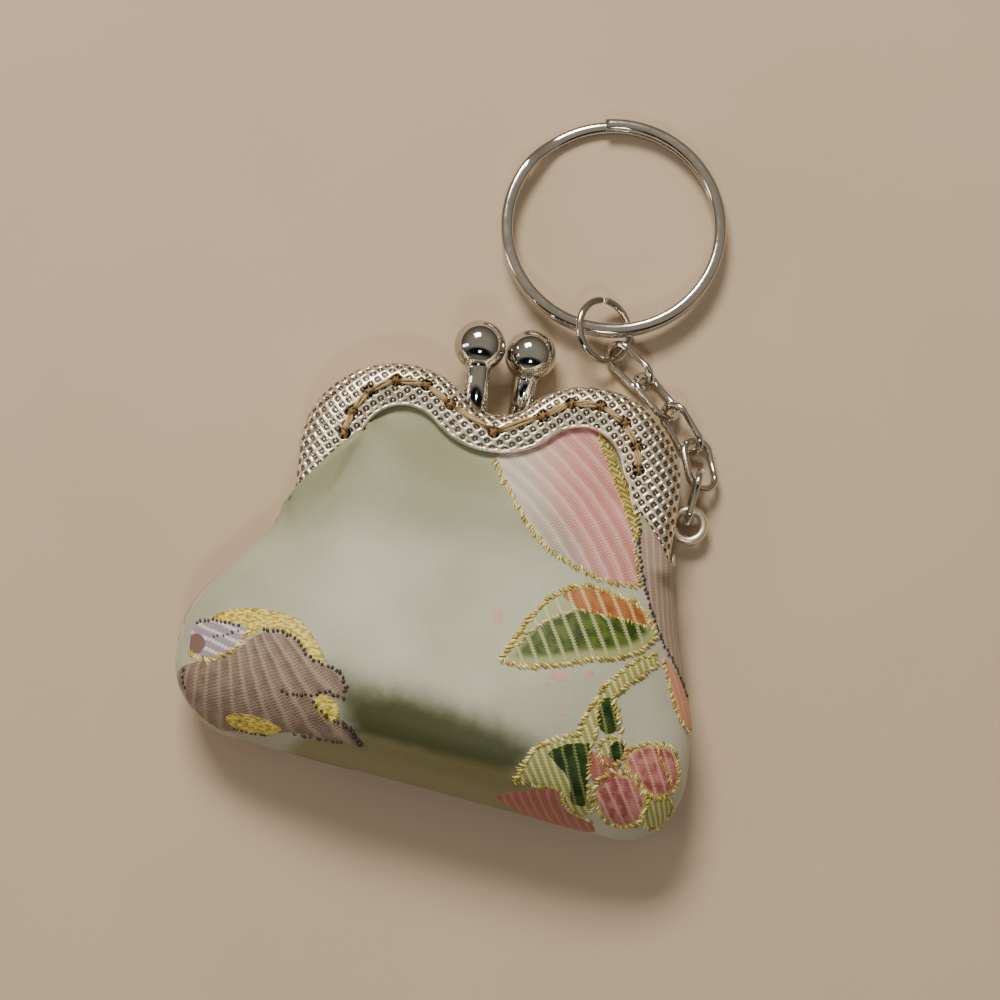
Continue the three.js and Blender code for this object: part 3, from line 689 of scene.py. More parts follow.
class Pouch:
    """The skin of the pouch as rows and columns of points, with flat cloth measures at each."""

    def __init__(self, rows, turn_rows, columns):
        down = np.linspace(POUCH_SECTIONS[0, 0], POUCH_SECTIONS[-1, 0], rows)
        left, right, height = smooth_columns(POUCH_SECTIONS, down).T * [[POUCH_WIDTH], [POUCH_WIDTH], [1]]
        turn = np.linspace(0, np.pi / 2, turn_rows + 1)[1:]
        end = down[-1] * POUCH_DROP
        reach = POUCH_DROP - end
        rounding = BOTTOM_ROUND * (1 - np.cos(turn))
        self.down = np.concatenate([down * POUCH_DROP, end + reach * np.sin(turn)])
        left = np.concatenate([left, left[-1] - LEFT_CORNER * rounding])
        right = np.concatenate([right, right[-1] - RIGHT_CORNER * rounding])
        height = np.concatenate([height, np.full(turn_rows, height[-1])])
        bend = np.concatenate([np.zeros(rows), turn])
        self.rows = len(self.down)
        self.columns = 2 * columns
        step = np.arange(2 * columns)
        step = np.where(step <= columns, step, 2 * columns - step)
        across = -np.cos(np.pi * step / columns)[None, :] * np.ones((self.rows, 1))
        width = np.where(across < 0, left[:, None], right[:, None])
        x = across * width
        share = np.clip(self.down / POUCH_DROP, 0, None)[:, None]
        y = ARM_END - self.down[:, None] - math.tan(BOTTOM_TILT) * share * x
        args = (x, y, across, self.down[:, None], height[:, None], bend[:, None])
        front, full_front = pouch_level(*args, True)
        back, full_back = pouch_level(*args, False)
        is_front = (np.arange(2 * columns) <= columns)[None, :]
        front = self._relaxed(front, across, x, y, columns)
        self.points = np.stack([x, y, np.where(is_front, front, back)], 2)
        self.columns_half = columns
        self._measure(np.stack([x, y, np.where(is_front, full_front, full_back)], 2))

    def _relaxed(self, level, across, x, y, columns):
        """Heights of the front with their creases eased out, away from its edges and from the frame."""
        depth, distance = inside_frame(x, y)
        clear = np.maximum(depth - widths_at(distance)[0], ARM_END - y)
        ease = smoothstep(*RELAX_CLEAR, clear) * smoothstep(*RELAX_SIDES, np.abs(across))
        ease[-2:] = 0
        ease[0] = 0
        ease[:, columns + 1:] = 0
        for _ in range(RELAX_PASSES):
            around = sum(np.roll(level, step, axis) for axis in (0, 1) for step in (1, -1)) / 4
            level = level + (around - level) * ease * RELAX_STEP
        return level

    def _measure(self, p):
        """Flat measures: u across from the middle and v down from the arms' ends, along the smooth shape."""
        half = self.columns_half
        across = np.linalg.norm(np.diff(np.concatenate([p, p[:, :1]], 1), axis=1), axis=2)
        run = np.concatenate([np.zeros((self.rows, 1)), np.cumsum(across, 1)], 1)
        middle = half // 2
        centre = run[:, middle:middle + 1]
        u = run[:, :-1] - centre
        wrap = 3 * half // 2
        u[:, wrap:] = u[:, wrap:] - run[:, -1:]
        down = np.linalg.norm(np.diff(p, axis=0), axis=2)
        v = np.concatenate([np.zeros((1, self.columns)), np.cumsum(down, 0)], 0)
        start = np.argmin(np.abs(self.down))
        self.u = u
        self.v = v - v[start]
        self.round = np.repeat(run[:, -1:], self.columns, axis=1)

    def mesh(self):
        """Points, faces and flat measures of the skin below the lips."""
        p = self.points.copy()
        depth, distance = inside_frame(p[..., 0], p[..., 1])
        face, _, rim = widths_at(distance)
        lip = rim * LIP_SHARE
        above = p[..., 1] > ARM_END - CLOTH_CLEAR
        behind = above & (depth < lip)
        is_front = (np.arange(self.columns) <= self.columns_half)[None, :] & np.ones_like(above)
        start = cover_start(p[..., 0])
        covered = is_front & (p[..., 1] < start) & (np.abs(p[..., 0]) > ARCH_X)
        outside = behind & ~covered
        past, rolled = self._rolled(p)
        p = np.where((covered & (past > 0))[..., None], rolled, p)
        tucked = covered & (past > math.pi * cover_roll(p[..., 0], p[..., 1]) + COVER_TUCK)
        on_metal = depth < face + EDGE_EASE
        over = covered & on_metal
        wall = np.where(covered, 1 - THINNING * smoothstep(*THINNING_RANGE, past), 1.0)
        under = is_front & ~covered & on_metal
        side = np.where(p[..., 0] < 0, -1.0, 1.0)
        edge, inward = outline_at((distance * side).reshape(-1))
        onto = (edge + inward * lip.reshape(-1)[:, None]).reshape(p.shape[:2] + (2,))
        p[..., :2] = np.where(outside[..., None], onto, p[..., :2])
        faces = []
        count = self.columns
        last = self.rows - 1
        for i in range(last):
            for j in range(count):
                k = (j + 1) % count
                corners = [(i, j), (i, k), (i + 1, k), (i + 1, j)]
                gone = outside if j < self.columns_half else behind
                if all(gone[corner] for corner in corners):
                    continue
                if j < self.columns_half and self._split(corners, over, under, tucked):
                    continue
                faces.append(tuple(self._index(row, column) for row, column in reversed(corners)))
        flat = [tuple(dict.fromkeys(face)) for face in faces]
        faces = [face for face in flat if len(face) > 2]
        used = sorted({k for face in faces for k in face})
        renumber = {k: n for n, k in enumerate(used)}
        faces = [tuple(renumber[k] for k in face) for face in faces]
        points = p.reshape(-1, 3)[used]
        self.wall_shares = wall.reshape(-1)[used]
        panel = np.stack([self.u.reshape(-1)[used], self.v.reshape(-1)[used]], 1)
        self.used_round = self.round.reshape(-1)[used]
        return points, faces, panel

    def _rolled(self, p):
        """How far points lie past the lines of the cover, and where they go as the cloth rolls under."""
        x, y = p[..., 0], p[..., 1]
        hand = np.where(x < 0, -1.0, 1.0)
        bounds = []
        slopes = []
        for table in (LEFT_COVER, RIGHT_COVER):
            bounds.append(np.interp(y, *table.T))
            slopes.append((np.interp(y + SLOPE_STEP, *table.T) - bounds[-1]) / SLOPE_STEP)
        bound = in_both(*bounds, x)
        slope = in_both(*slopes, x)
        size = np.hypot(1, slope)
        out = np.stack([hand / size, -slope / size], -1)
        roll = cover_roll(x, y)
        past = (np.abs(x) + roll * size - bound) / size
        base = p[..., :2] - out * past[..., None]
        turn = np.clip(past / roll, 0, math.pi)
        beyond = np.maximum(past - math.pi * roll, 0)
        plan = base + out * (roll * np.sin(turn) - beyond)[..., None]
        depth, distance = inside_frame(base[..., 0], base[..., 1])
        top = np.maximum(p[..., 2], frame_top(depth, widths_at(distance)[2]) + 2 * roll + COVER_CLEAR)
        level = top - roll * (1 - np.cos(turn))
        return past, np.concatenate([plan, level[..., None]], -1)

    @staticmethod
    def _split(corners, over, under, tucked):
        """True for a face that would pass through the frame, or that lies deep under the rolled edge."""
        crosses = any(over[corner] for corner in corners) and any(under[corner] for corner in corners)
        return crosses or any(tucked[corner] for corner in corners)

    def _index(self, row, column):
        """Number of a point. The front and the back share the points of the bottom line."""
        if row == self.rows - 1 and column > self.columns_half:
            column = 2 * self.columns_half - column
        return row * self.columns + column


class Panel:
    """Finds places on the cloth: flat measures from a pixel of the photo, and the surface from those."""

    def __init__(self, pouch):
        self.points, self.faces, self.panel = pouch.mesh()
        self.tree = BVHTree.FromPolygons(self.points.tolist(), self.faces)
        self.near = KDTree(len(self.panel))
        for index, (u, v) in enumerate(self.panel):
            self.near.insert((u, v, 0), index)
        self.near.balance()
        self.wall = pouch.wall_shares
        self.round = pouch.used_round
        order = np.argsort(pouch.v[:, 0])
        self.girths = pouch.v[order, 0], pouch.round[order, 0]
        self.place, self.forward, self.right, self.up = view_axes()
        normals = np.zeros_like(self.points)
        for face in self.faces:
            a, b, c = (self.points[face[k]] for k in (0, 1, 2))
            normals[list(face)] += np.cross(b - a, c - a)
        self.normals = normals / np.maximum(np.linalg.norm(normals, axis=1)[:, None], 1e-9)
        self.neighbours = [[] for _ in self.points]
        for face in self.faces:
            for k, index in enumerate(face):
                self.neighbours[index].append(face[k - 1])
                self.neighbours[index].append(face[(k + 1) % len(face)])

    def from_pixel(self, column, row, aside=0.0, below=0.0):
        """Flat measures of what a pixel of the photo shows, moved along the cloth by millimetres."""
        half = PHOTO_SIDE / 2
        ray = self.forward + ((column - half) * self.right + (half - row) * self.up) / VIEW_FOCAL_PIXELS
        start = self.place - SHIFT
        hit = self.tree.ray_cast(Vector(start), Vector(ray))
        if hit[0] is None:
            reach = np.dot(np.array([0, 0, EDGE_LEVEL]) - start, [0, 0, 1]) / ray[2]
            hit = self.tree.find_nearest(Vector(start + ray * reach))
        corners = self.faces[hit[2]]
        base = self.points[corners[0]]
        spans = np.stack([self.points[corners[1]] - base, self.points[corners[-1]] - base], 1)
        shares = np.linalg.lstsq(spans, np.array(hit[0]) - base, rcond=None)[0]
        flat, first, last = (self.panel[corners[k]] for k in (0, 1, -1))
        return flat + shares[0] * (first - flat) + shares[1] * (last - flat) + np.array([aside, below])

    def outline(self, rows, closed=True, steps=6):
        """Smooth line through rows of (column, row[, aside, below]); a row given twice is a corner."""
        knots = np.array([self.from_pixel(*row) for row in rows])
        return smooth_line(knots, closed, steps)

    def surface(self, flat):
        """Point and normal of the cloth at flat measures."""
        index = self.near.find((flat[0], flat[1], 0))[1]
        near = self.panel[index, 0]
        around = [k for k in set(self.neighbours[index]) if abs(self.panel[k, 0] - near) < SAME_SIDE]
        spans = self.panel[around] - self.panel[index]
        rises = self.points[around] - self.points[index]
        slope = np.linalg.lstsq(spans, rises, rcond=None)[0]
        offset = np.clip(np.asarray(flat) - self.panel[index], -1, 1)
        return self.points[index] + offset @ slope, self.normals[index]

    def motif_places(self):
        """Where each point lies in the pattern. The back is a panel of its own, cut with the same flowers."""
        u, v = self.panel.T
        behind = np.abs(u) > self.round / 4 + SEAM_BEHIND
        return np.stack([np.where(behind, u - np.sign(u) * self.round / 2, u), v], 1)

    def on_back(self, flat):
        """The place on the back that shows what a place on the front shows, or None past the seams."""
        girth = np.interp(flat[1], *self.girths)
        if abs(flat[0]) > girth / 4 - SEAM_BEHIND:
            return None
        return np.array([flat[0] + (girth / 2 if flat[0] < 0 else -girth / 2), flat[1]])

    def petal_ribs(self, places):
        """Distance of places from the point that the ribs of the big petal turn about."""
        return np.linalg.norm(places - self.from_pixel(*PETAL_CENTRE), axis=1)

    def left_ribs(self, places):
        """Direction of places from the point that the ribs of the left petal fan out from."""
        away = places - self.from_pixel(*LEFT_FAN)
        return np.arctan2(away[:, 0], away[:, 1])


def smooth_line(knots, closed, steps):
    """Curve through knots; two equal knots in a row make a corner."""
    count = len(knots)
    line = []
    spans = count if closed else count - 1
    for i in range(spans):
        places = np.arange(i - 1, i + 3)
        places = places % count if closed else np.clip(places, 0, count - 1)
        before, start, end, after = knots[places]
        if np.allclose(start, end):
            continue
        for k in range(steps):
            t = k / steps
            line.append(0.5 * (
                2 * start + (end - before) * t
                + (2 * before - 5 * start + 4 * end - after) * t ** 2
                + (3 * start - before - 3 * end + after) * t ** 3
            ))
    if not closed:
        line.append(knots[-1])
    return np.array(line)


def signed_distance(points, outline):
    """Distance of each point from a closed outline, negative inside it."""
    best = np.full(len(points), 1e9)
    inside = np.zeros(len(points), bool)
    for a, b in zip(outline, np.roll(outline, -1, axis=0)):
        edge = b - a
        away = points - a
        share = np.clip(away @ edge / max(edge @ edge, 1e-12), 0, 1)
        best = np.minimum(best, np.linalg.norm(away - share[:, None] * edge, axis=1))
        crosses = (a[1] > points[:, 1]) != (b[1] > points[:, 1])
        with np.errstate(divide="ignore", invalid="ignore"):
            at = a[0] + (points[:, 1] - a[1]) * edge[0] / edge[1]
        inside ^= crosses & (points[:, 0] < at)
    return np.where(inside, -best, best)


# Woven pattern: outlines of its motifs, as pixels of the photo that the purse was measured from.
# A third and fourth number move the point along the cloth, in millimetres, past what the photo shows.
BIG_PETAL = [
    (494, 459), (494, 459), (522, 438), (549, 420), (583, 410), (599, 432), (599, 432), (602, 448),
    (610, 468), (619, 492), (627, 515), (634, 540), (640, 586), (640, 586), (607, 582), (574, 566),
    (552, 552), (532, 530), (516, 502), (503, 480),
]
OLIVE_STRIP = [
    (600, 436), (600, 436), (608, 447), (617, 466), (626, 488), (634, 512), (639, 540), (639, 540),
    (634, 540), (627, 515), (619, 492), (610, 468), (602, 448),
]
LEAF = [
    (500, 662), (500, 662), (517, 636), (536, 612), (556, 595), (576, 587), (598, 588), (621, 597),
    (638, 605), (649, 618), (656, 637), (656, 637), (638, 652), (615, 659), (593, 660), (565, 664),
    (531, 667),
]
LEAF_TOP = [
    (560, 595), (560, 595), (577, 589), (598, 590), (621, 599), (637, 607), (650, 626), (650, 626),
    (627, 621), (607, 617), (584, 611),
]
LEAF_TIP = [
    (514, 646), (514, 646), (519, 636), (537, 613), (556, 597), (560, 596), (580, 610), (580, 610),
    (553, 620), (530, 632),
]
LEAF_VEIN = [(516, 648), (530, 632), (552, 619), (576, 611), (600, 615), (626, 621), (650, 630)]
SPOTS = [
    ((497, 612), 0.62), ((499, 620), 0.6), ((556, 674), 0.75), ((562, 678), 0.5), ((588, 674), 0.55),
    ((565, 713), 0.42), ((547, 684), 0.3),
]
STEM = [
    (656, 654), (656, 654), (640, 660), (622, 671), (606, 686), (596, 700), (588, 714), (580, 732),
    (592, 742), (592, 742), (600, 722), (612, 700), (620, 690), (638, 676), (658, 664), (658, 664),
]
CALYX = [(602, 699), (602, 699), (612, 698), (616, 712), (619, 730), (619, 730), (606, 734), (597, 722)]
PALE_LEAF = [
    (514, 781), (514, 781), (522, 766), (536, 749), (556, 741), (578, 736), (592, 742), (592, 742),
    (588, 775), (592, 815), (592, 815), (572, 812), (560, 792), (540, 786),
]
DARK_LEAF = [
    (546, 752), (546, 752), (566, 744), (590, 743), (590, 743), (588, 775), (585, 806), (585, 806),
    (572, 802), (569, 780), (560, 768),
]
PALE_BUD = [(598, 748), (604, 740), (618, 737), (626, 748), (620, 762), (604, 764)]
GREEN_BUD = [(610, 746), (618, 741), (624, 748), (620, 760), (610, 760)]
UPPER_BUD = [
    (624, 757), (634, 748), (650, 744), (668, 746), (676, 758), (678, 776), (672, 792), (654, 798),
    (640, 786), (628, 772),
]
LOWER_BUD = [
    (594, 792), (600, 778), (614, 772), (632, 776), (642, 788), (645, 806), (638, 822), (618, 826),
    (602, 816),
]
LAST_PETAL = [
    (646, 792), (656, 798), (668, 798), (671, 810), (662, 824), (648, 828), (642, 818), (647, 806),
]
CORNER_PINK = [
    (494, 796), (494, 796), (520, 791), (558, 789), (558, 789), (566, 810), (592, 824), (592, 824, 0, 3),
    (560, 812, 0, 5), (525, 802, 0, 4),
]
SIDE_PETAL = [
    (640, 522), (640, 522), (640, 545), (642, 575), (652, 613), (662, 642), (676, 670), (688, 697),
    (688, 697), (688, 690, 4, 2), (676, 640, 8, 0), (664, 590, 9, 0), (658, 560, 6, -3), (650, 532),
]
SIDE_WEDGE = [
    (663, 656), (663, 656), (675, 672), (688, 699), (688, 699), (688, 720, 3, 0), (687, 733), (687, 733),
    (678, 716), (669, 686),
]
LEFT_PETAL = [
    (196, 662), (212, 660), (228, 655), (246, 642), (262, 633), (280, 634), (298, 642), (312, 660),
    (332, 668), (345, 682), (350, 698), (350, 698), (332, 696), (316, 700), (326, 714), (345, 722),
    (361, 745), (361, 745), (330, 740), (290, 732), (250, 726, 0, 2), (215, 716, 0, 3), (196, 704, -2, 2),
    (186, 690, -3, 0),
    (186, 672, -2, 0),
]
LEFT_GOLD = [
    (208, 620), (208, 620), (226, 611), (250, 608), (272, 611), (296, 618), (310, 632), (324, 656),
    (328, 666), (328, 666), (310, 657), (298, 640), (280, 630), (262, 630), (248, 640), (248, 640),
    (244, 626), (222, 622),
]
LEFT_LOBE = [
    (190, 650), (192, 630), (202, 622), (226, 622), (244, 628), (248, 640), (234, 652), (212, 658),
    (196, 658),
]
LOBE_MARK = [(190, 648), (192, 636), (200, 634), (206, 642), (202, 652), (194, 654)]
LEFT_SPOT = [(312, 700), (322, 694), (334, 700), (340, 714), (334, 722), (322, 716)]
LEFT_PATCH = [
    (226, 718), (236, 713), (254, 715), (272, 722), (282, 730), (262, 731, 0, 1), (240, 726, 0, 1),
]
# Painted shade on the ground, not woven: a dark band where the satin turns down, and a darker strip below it
# along the bottom edge
SHADE_BAND = [
    (330, 668), (352, 676), (386, 684), (412, 688), (440, 697), (468, 707), (500, 719), (544, 742),
    (544, 742), (534, 772), (505, 786), (470, 778), (430, 766), (390, 754), (346, 738),
]
LOW_SHADE_STRIP = [
    (300, 738), (360, 736), (430, 752), (512, 772), (560, 794), (560, 812, 0, 6), (500, 800, 0, 6),
    (420, 778, 0, 6), (340, 756, 0, 6), (290, 740, 0, 6),
]
CALYX_FILL = [(590, 752), (606, 756), (620, 768), (608, 780), (596, 786), (588, 768)]

# The motifs by name, each with the outlines it takes in, and the painted shade that lies on the ground
MOTIFS = {
    "big_petal": [BIG_PETAL],
    "olive_strip": [OLIVE_STRIP],
    "leaf": [LEAF],
    "leaf_top": [LEAF_TOP],
    "leaf_tip": [LEAF_TIP],
    "pale_green": [STEM, PALE_LEAF, PALE_BUD, LAST_PETAL],
    "dark_green": [DARK_LEAF, CALYX, GREEN_BUD],
    "buds": [UPPER_BUD, LOWER_BUD],
    "corner_pink": [CORNER_PINK, CALYX_FILL],
    "side_petal": [SIDE_PETAL],
    "side_wedge": [SIDE_WEDGE],
    "left_petal": [LEFT_PETAL],
    "left_lobe": [LEFT_LOBE],
    "lobe_mark": [LOBE_MARK],
    "gold_fill": [LEFT_GOLD, LEFT_SPOT, LEFT_PATCH],
}
SHADES = {
    "shade_band": [SHADE_BAND],
    "low_strip": [LOW_SHADE_STRIP],
}
# Lines of stitches: their course, whether they close, and the width of a stitch in millimetres
GOLD_LINES = [
    (BIG_PETAL[13:] + [(494, 460)], False, 0.36),
    (OLIVE_STRIP[1:7], False, 0.29),
    (BIG_PETAL[6:13], False, 0.26),
    (LEAF, True, 0.4),
    (LEAF_VEIN, False, 0.26),
    ([(656, 653), (638, 661), (620, 672), (604, 688), (594, 702), (586, 716), (578, 732)], False, 0.36),
    ([(658, 664), (640, 677), (622, 690), (614, 701), (618, 716), (621, 732)], False, 0.33),
    ([(602, 699), (597, 712), (598, 724), (594, 740)], False, 0.28),
    ([(580, 734), (556, 740), (536, 748), (523, 764), (514, 781)], False, 0.4),
    ([(514, 782), (540, 786), (560, 791), (566, 806), (580, 816), (594, 822)], False, 0.26),
    ([(592, 742), (589, 765), (588, 790), (593, 812)], False, 0.28),
    (UPPER_BUD, True, 0.29),
    ([(656, 746), (662, 762), (671, 786)], False, 0.28),
    (LOWER_BUD, True, 0.36),
    (LAST_PETAL, True, 0.29),
    (PALE_BUD, True, 0.29),
    (SIDE_WEDGE[-5:] + [(663, 658)], False, 0.29),
    ([(190, 650), (204, 660), (222, 656), (238, 646), (248, 632)], False, 0.43),
]
LEFT_RIM = [(262, 630), (280, 632), (298, 641), (308, 655), (322, 664), (334, 668), (344, 680), (346, 694)]
BLACK_LINES = [
    (SIDE_PETAL[1:8], False, 0.38),
    ([(196, 624), (206, 620), (222, 622), (242, 626)], False, 0.35),
    (LEFT_RIM, False, 0.4),
    ([(281, 690), (296, 694), (312, 694), (330, 692), (346, 699)], False, 0.4),
    ([(313, 700), (322, 710), (332, 719), (346, 724)], False, 0.45),
    ([(344, 724), (352, 732), (361, 745)], False, 0.69),
    ([(294, 733), (318, 738), (344, 743)], False, 0.35),
    ([(184, 668), (184, 678), (187, 690)], False, 0.4),
    ([(212, 638), (226, 634), (240, 630)], False, 0.28),
    ([(232, 722, 0, 1), (250, 728, 0, 1), (268, 731, 0, 1)], False, 0.33),
]
# The side seams lie this far round towards the back, and outlines stop where its cloth turns up
SEAM_BEHIND = 1.5
BACK_LIMIT = -0.3
# Points whose flat measures differ by more than this lie on both sides of the cut down the back
SAME_SIDE = 5
# Stitches: distance between them, length, slant across their line, stray
GOLD_STYLE = (0.42, 0.6, math.radians(52), 0.1)
BLACK_STYLE = (0.62, 0.2, math.radians(60), 0.1)
STITCH_ARCH = ((-1, -0.02), (0, 0.17), (1, -0.02))
STITCH_TAPER = np.array([0.45, 0.9, 1.0, 0.9, 0.45])
STITCH_SLANTS = (0.55, 1.45)
STITCH_LENGTHS = (0.7, 1.15)
STITCH_WIDTHS = (0.75, 1.1)
STITCH_SQUASH = 0.5
AHEAD_STEP = 0.2
MOTIF_RISE = 0.16
MOTIF_EDGE = (0.25, -0.35)
STITCH_SEAT = 0.6

# Where the ribs of the two large petals turn about
PETAL_CENTRE = (307, 673)
LEFT_FAN = (236, 560)


def stitch_path(panel, centre, reach, at_back):
    """Three points of a stitch over the cloth, and the way out of the cloth, or None where it doesn't lie."""
    path = []
    for share, lift in STITCH_ARCH:
        flat = centre + share * reach
        if at_back:
            flat = panel.on_back(flat)
        if flat is None:
            return None
        point, normal = panel.surface(flat)
        if at_back and normal[2] > BACK_LIMIT:
            return None
        path.append(point + normal * (lift + MOTIF_RISE * STITCH_SEAT))
    return np.array(path), normal


def stitches(panel, lines, style, seed, at_back=False):
    """Short raised floats of thread, slanted across lines on the cloth, and a tone for each point."""
    pitch, length, slant, stray = style
    random = np.random.default_rng(seed)
    parts = []
    tones = []
    for rows, closed, width in lines:
        line = panel.outline(rows, closed, LINE_STEPS)
        if closed:
            line = np.concatenate([line, line[:1]])
        run = np.concatenate([[0], np.cumsum(np.linalg.norm(np.diff(line, axis=0), axis=1))])
        count = max(2, int(run[-1] / pitch))
        for middle in (np.arange(count) + 0.5) / count * run[-1]:
            steps = middle + np.array([-AHEAD_STEP, 0, AHEAD_STEP])
            behind, centre, before = np.stack([np.interp(steps, run, line[:, c]) for c in (0, 1)], 1)
            ahead = before - behind
            turn = math.atan2(ahead[1], ahead[0]) + slant * random.uniform(*STITCH_SLANTS)
            half = (length + width) / 2 * random.uniform(*STITCH_LENGTHS)
            centre = centre + random.normal(0, stray, 2)
            found = stitch_path(panel, centre, half * np.array([math.cos(turn), math.sin(turn)]), at_back)
            if found is None:
                continue
            path, normal = found
            radius = width / 2 * random.uniform(*STITCH_WIDTHS)
            fine = smooth_line(path, False, 2)
            points, faces = tube(fine, radius * STITCH_TAPER, 6, False, STITCH_SQUASH, normal)
            parts.append((points, faces))
            tones.append(np.full(len(points), random.uniform(0, 1)))
    points, faces = join_parts(parts)
    return points, faces, np.concatenate(tones)


# Metal pieces
def stand_for(piece, node):
    """The piece takes the place of one node, which is hidden, and is attached to the root."""
    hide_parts(node)
    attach(piece, "root")


def oriented(points, place, axes):
    """Points given along three axes, set at a place."""
    return np.asarray(place) + points @ np.asarray(axes)


def turned(heading, drop, turn):
    """Axes of something turned about X, then Y, then Z, in degrees."""
    a, b, c = (math.radians(value) for value in (turn, drop, heading))
    about_x = np.array([[1, 0, 0], [0, math.cos(a), -math.sin(a)], [0, math.sin(a), math.cos(a)]])
    about_y = np.array([[math.cos(b), 0, math.sin(b)], [0, 1, 0], [-math.sin(b), 0, math.cos(b)]])
    about_z = np.array([[math.cos(c), -math.sin(c), 0], [math.sin(c), math.cos(c), 0], [0, 0, 1]])
    return (about_z @ about_y @ about_x).T


LINK_WIRE = 1.0
LINK_LENGTH = 8.0
LINK_WIDTH = 4.8
# name, x, y, z, heading, drop, turn
CHAIN_ROUTE = [
    ("link_1", 16.5, 16.7, 2.1, -39, -5, 43),
    ("link_2", 20.5, 13.1, 2.0, -44, 0, -44),
    ("link_3", 24.3, 9.2, 2.1, -52, 4, 45),
    ("link_4", 27.2, 4.8, 2.2, -72, -11, -26),
    ("link_5", 26.9, 0.2, 3.0, -98, 10, 90),
]
JUMP_WIRE = 1.0
JUMP_DIAMETER = 9.2
JUMP_GAP = math.radians(9)
JUMP_TILT = 35
JUMP_HEADING = 8
JUMP_PLACE = (12.6, 20.9, 3.0)
JUMP_END = 0.8
LINK_SEAM = 0.86
LINK_SEAM_REACH = 0.003
KEY_RING_DIAMETER = 30.0
KEY_WIRE_WIDTH = 1.6
KEY_WIRE_HEIGHT = 1.15
KEY_TURN_GAP = 0.12
KEY_STEP = math.radians(26)
KEY_STEP_AT = math.radians(140)
KEY_TILT = math.radians(3.3)
KEY_HEADING = math.radians(92)
KEY_SQUARE = 2.7
LOOP_WIRE = 1.2
LOOP_DIAMETER = 5.2
LOOP_DOWN = 3.4
LOOP_BITE = 0.9
BALL_DIAMETER = 6.8
BALL_REACH = 9.0
BALL_GAP = 0.3
BALL_STAGGER = 2.4
POST_DIAMETER = 3.3
POST_SPREAD = 5.6
# a post with its ball: place along it and radius as a share of the post's, at its seat and below the ball
POST_SEAT = 0.3
POST_NECK = ((0.5, 0.94), (0.2, 0.98))
NECK_CLEAR = 0.12
SPIN_STEPS = 48
WELD_REACH = 1e-5
# rivets: in from the outer face, and share of the radius
RIVET_SECTION = ((0.55, 0.6), (0.5, 0.96), (0.3, 1.0), (0.1, 0.86), (0.0, 0.5), (0.0, 0.0))
RIVET_SHANK = 0.6
RIVET_SIDES = 24


def make_links(material):
    straight = (LINK_LENGTH - LINK_WIDTH) / 2
    turn = turns(LINK_STEPS, True)
    path = round_path((LINK_WIDTH - LINK_WIRE) / 2, turn)
    path[:, 0] += straight * np.sign(np.cos(turn))
    seam = np.abs(np.sin(turn) - 1) < LINK_SEAM_REACH
    wire = LINK_WIRE / 2 * np.where(seam, LINK_SEAM, 1.0)
    for name, x, y, z, heading, drop, roll in CHAIN_ROUTE:
        points, faces = tube(path, wire, WIRE_SIDES, True)
        points = oriented(points, (x, y, z), turned(heading, drop, roll))
        stand_for(make_object(name + "_wire", points, faces, material), name)


def make_jump_ring(material):
    turn = np.pi / 2 + JUMP_GAP / 2 + (2 * np.pi - JUMP_GAP) * np.linspace(0, 1, JUMP_STEPS)
    wire = np.full(len(turn), JUMP_WIRE / 2)
    wire[[0, -1]] *= JUMP_END
    points, faces = tube(round_path((JUMP_DIAMETER - JUMP_WIRE) / 2, turn), wire, WIRE_SIDES)
    points = oriented(points, JUMP_PLACE, turned(JUMP_HEADING, JUMP_TILT, 0))
    stand_for(make_object("jump_ring_wire", points, faces, material), "jump_ring")


def squared(wave, size):
    """Sine or cosine of a full turn, bent toward the side of a square of this size."""
    return np.sign(wave) * np.abs(wave) ** (2 / KEY_SQUARE) * size / 2


def make_key_ring(material):
    """Two turns of flat wire with rounded edges, one on the other, that cross at the step."""
    mean = (KEY_RING_DIAMETER - KEY_WIRE_WIDTH) / 2
    full = 4 * np.pi - 2 * KEY_STEP
    turn = KEY_STEP / 2 + full * np.linspace(0, 1, KEY_STEPS)
    climb = smoothstep(2 * np.pi - KEY_STEP / 2, 2 * np.pi + KEY_STEP / 2, turn)
    level = (climb - 0.5) * (KEY_WIRE_HEIGHT + KEY_TURN_GAP)
    corner = turns(WIRE_SIDES, True)
    radius = mean + squared(np.cos(corner), KEY_WIRE_WIDTH)[None, :]
    tall = squared(np.sin(corner), KEY_WIRE_HEIGHT)
    place = (turn + KEY_STEP_AT)[:, None]
    points = np.stack([radius * np.cos(place), radius * np.sin(place), level[:, None] + tall], 2)
    faces = flipped(ring_faces(len(turn), WIRE_SIDES, capped=True))
    centre = np.array(JUMP_PLACE) + mean * np.array([
        math.cos(KEY_HEADING), math.sin(KEY_HEADING), -math.sin(KEY_TILT),
    ])
    points = oriented(points.reshape(-1, 3), centre, turned(0, 0, -math.degrees(KEY_TILT)))
    stand_for(make_object("split_ring_wire", points, faces, material), "split_ring")


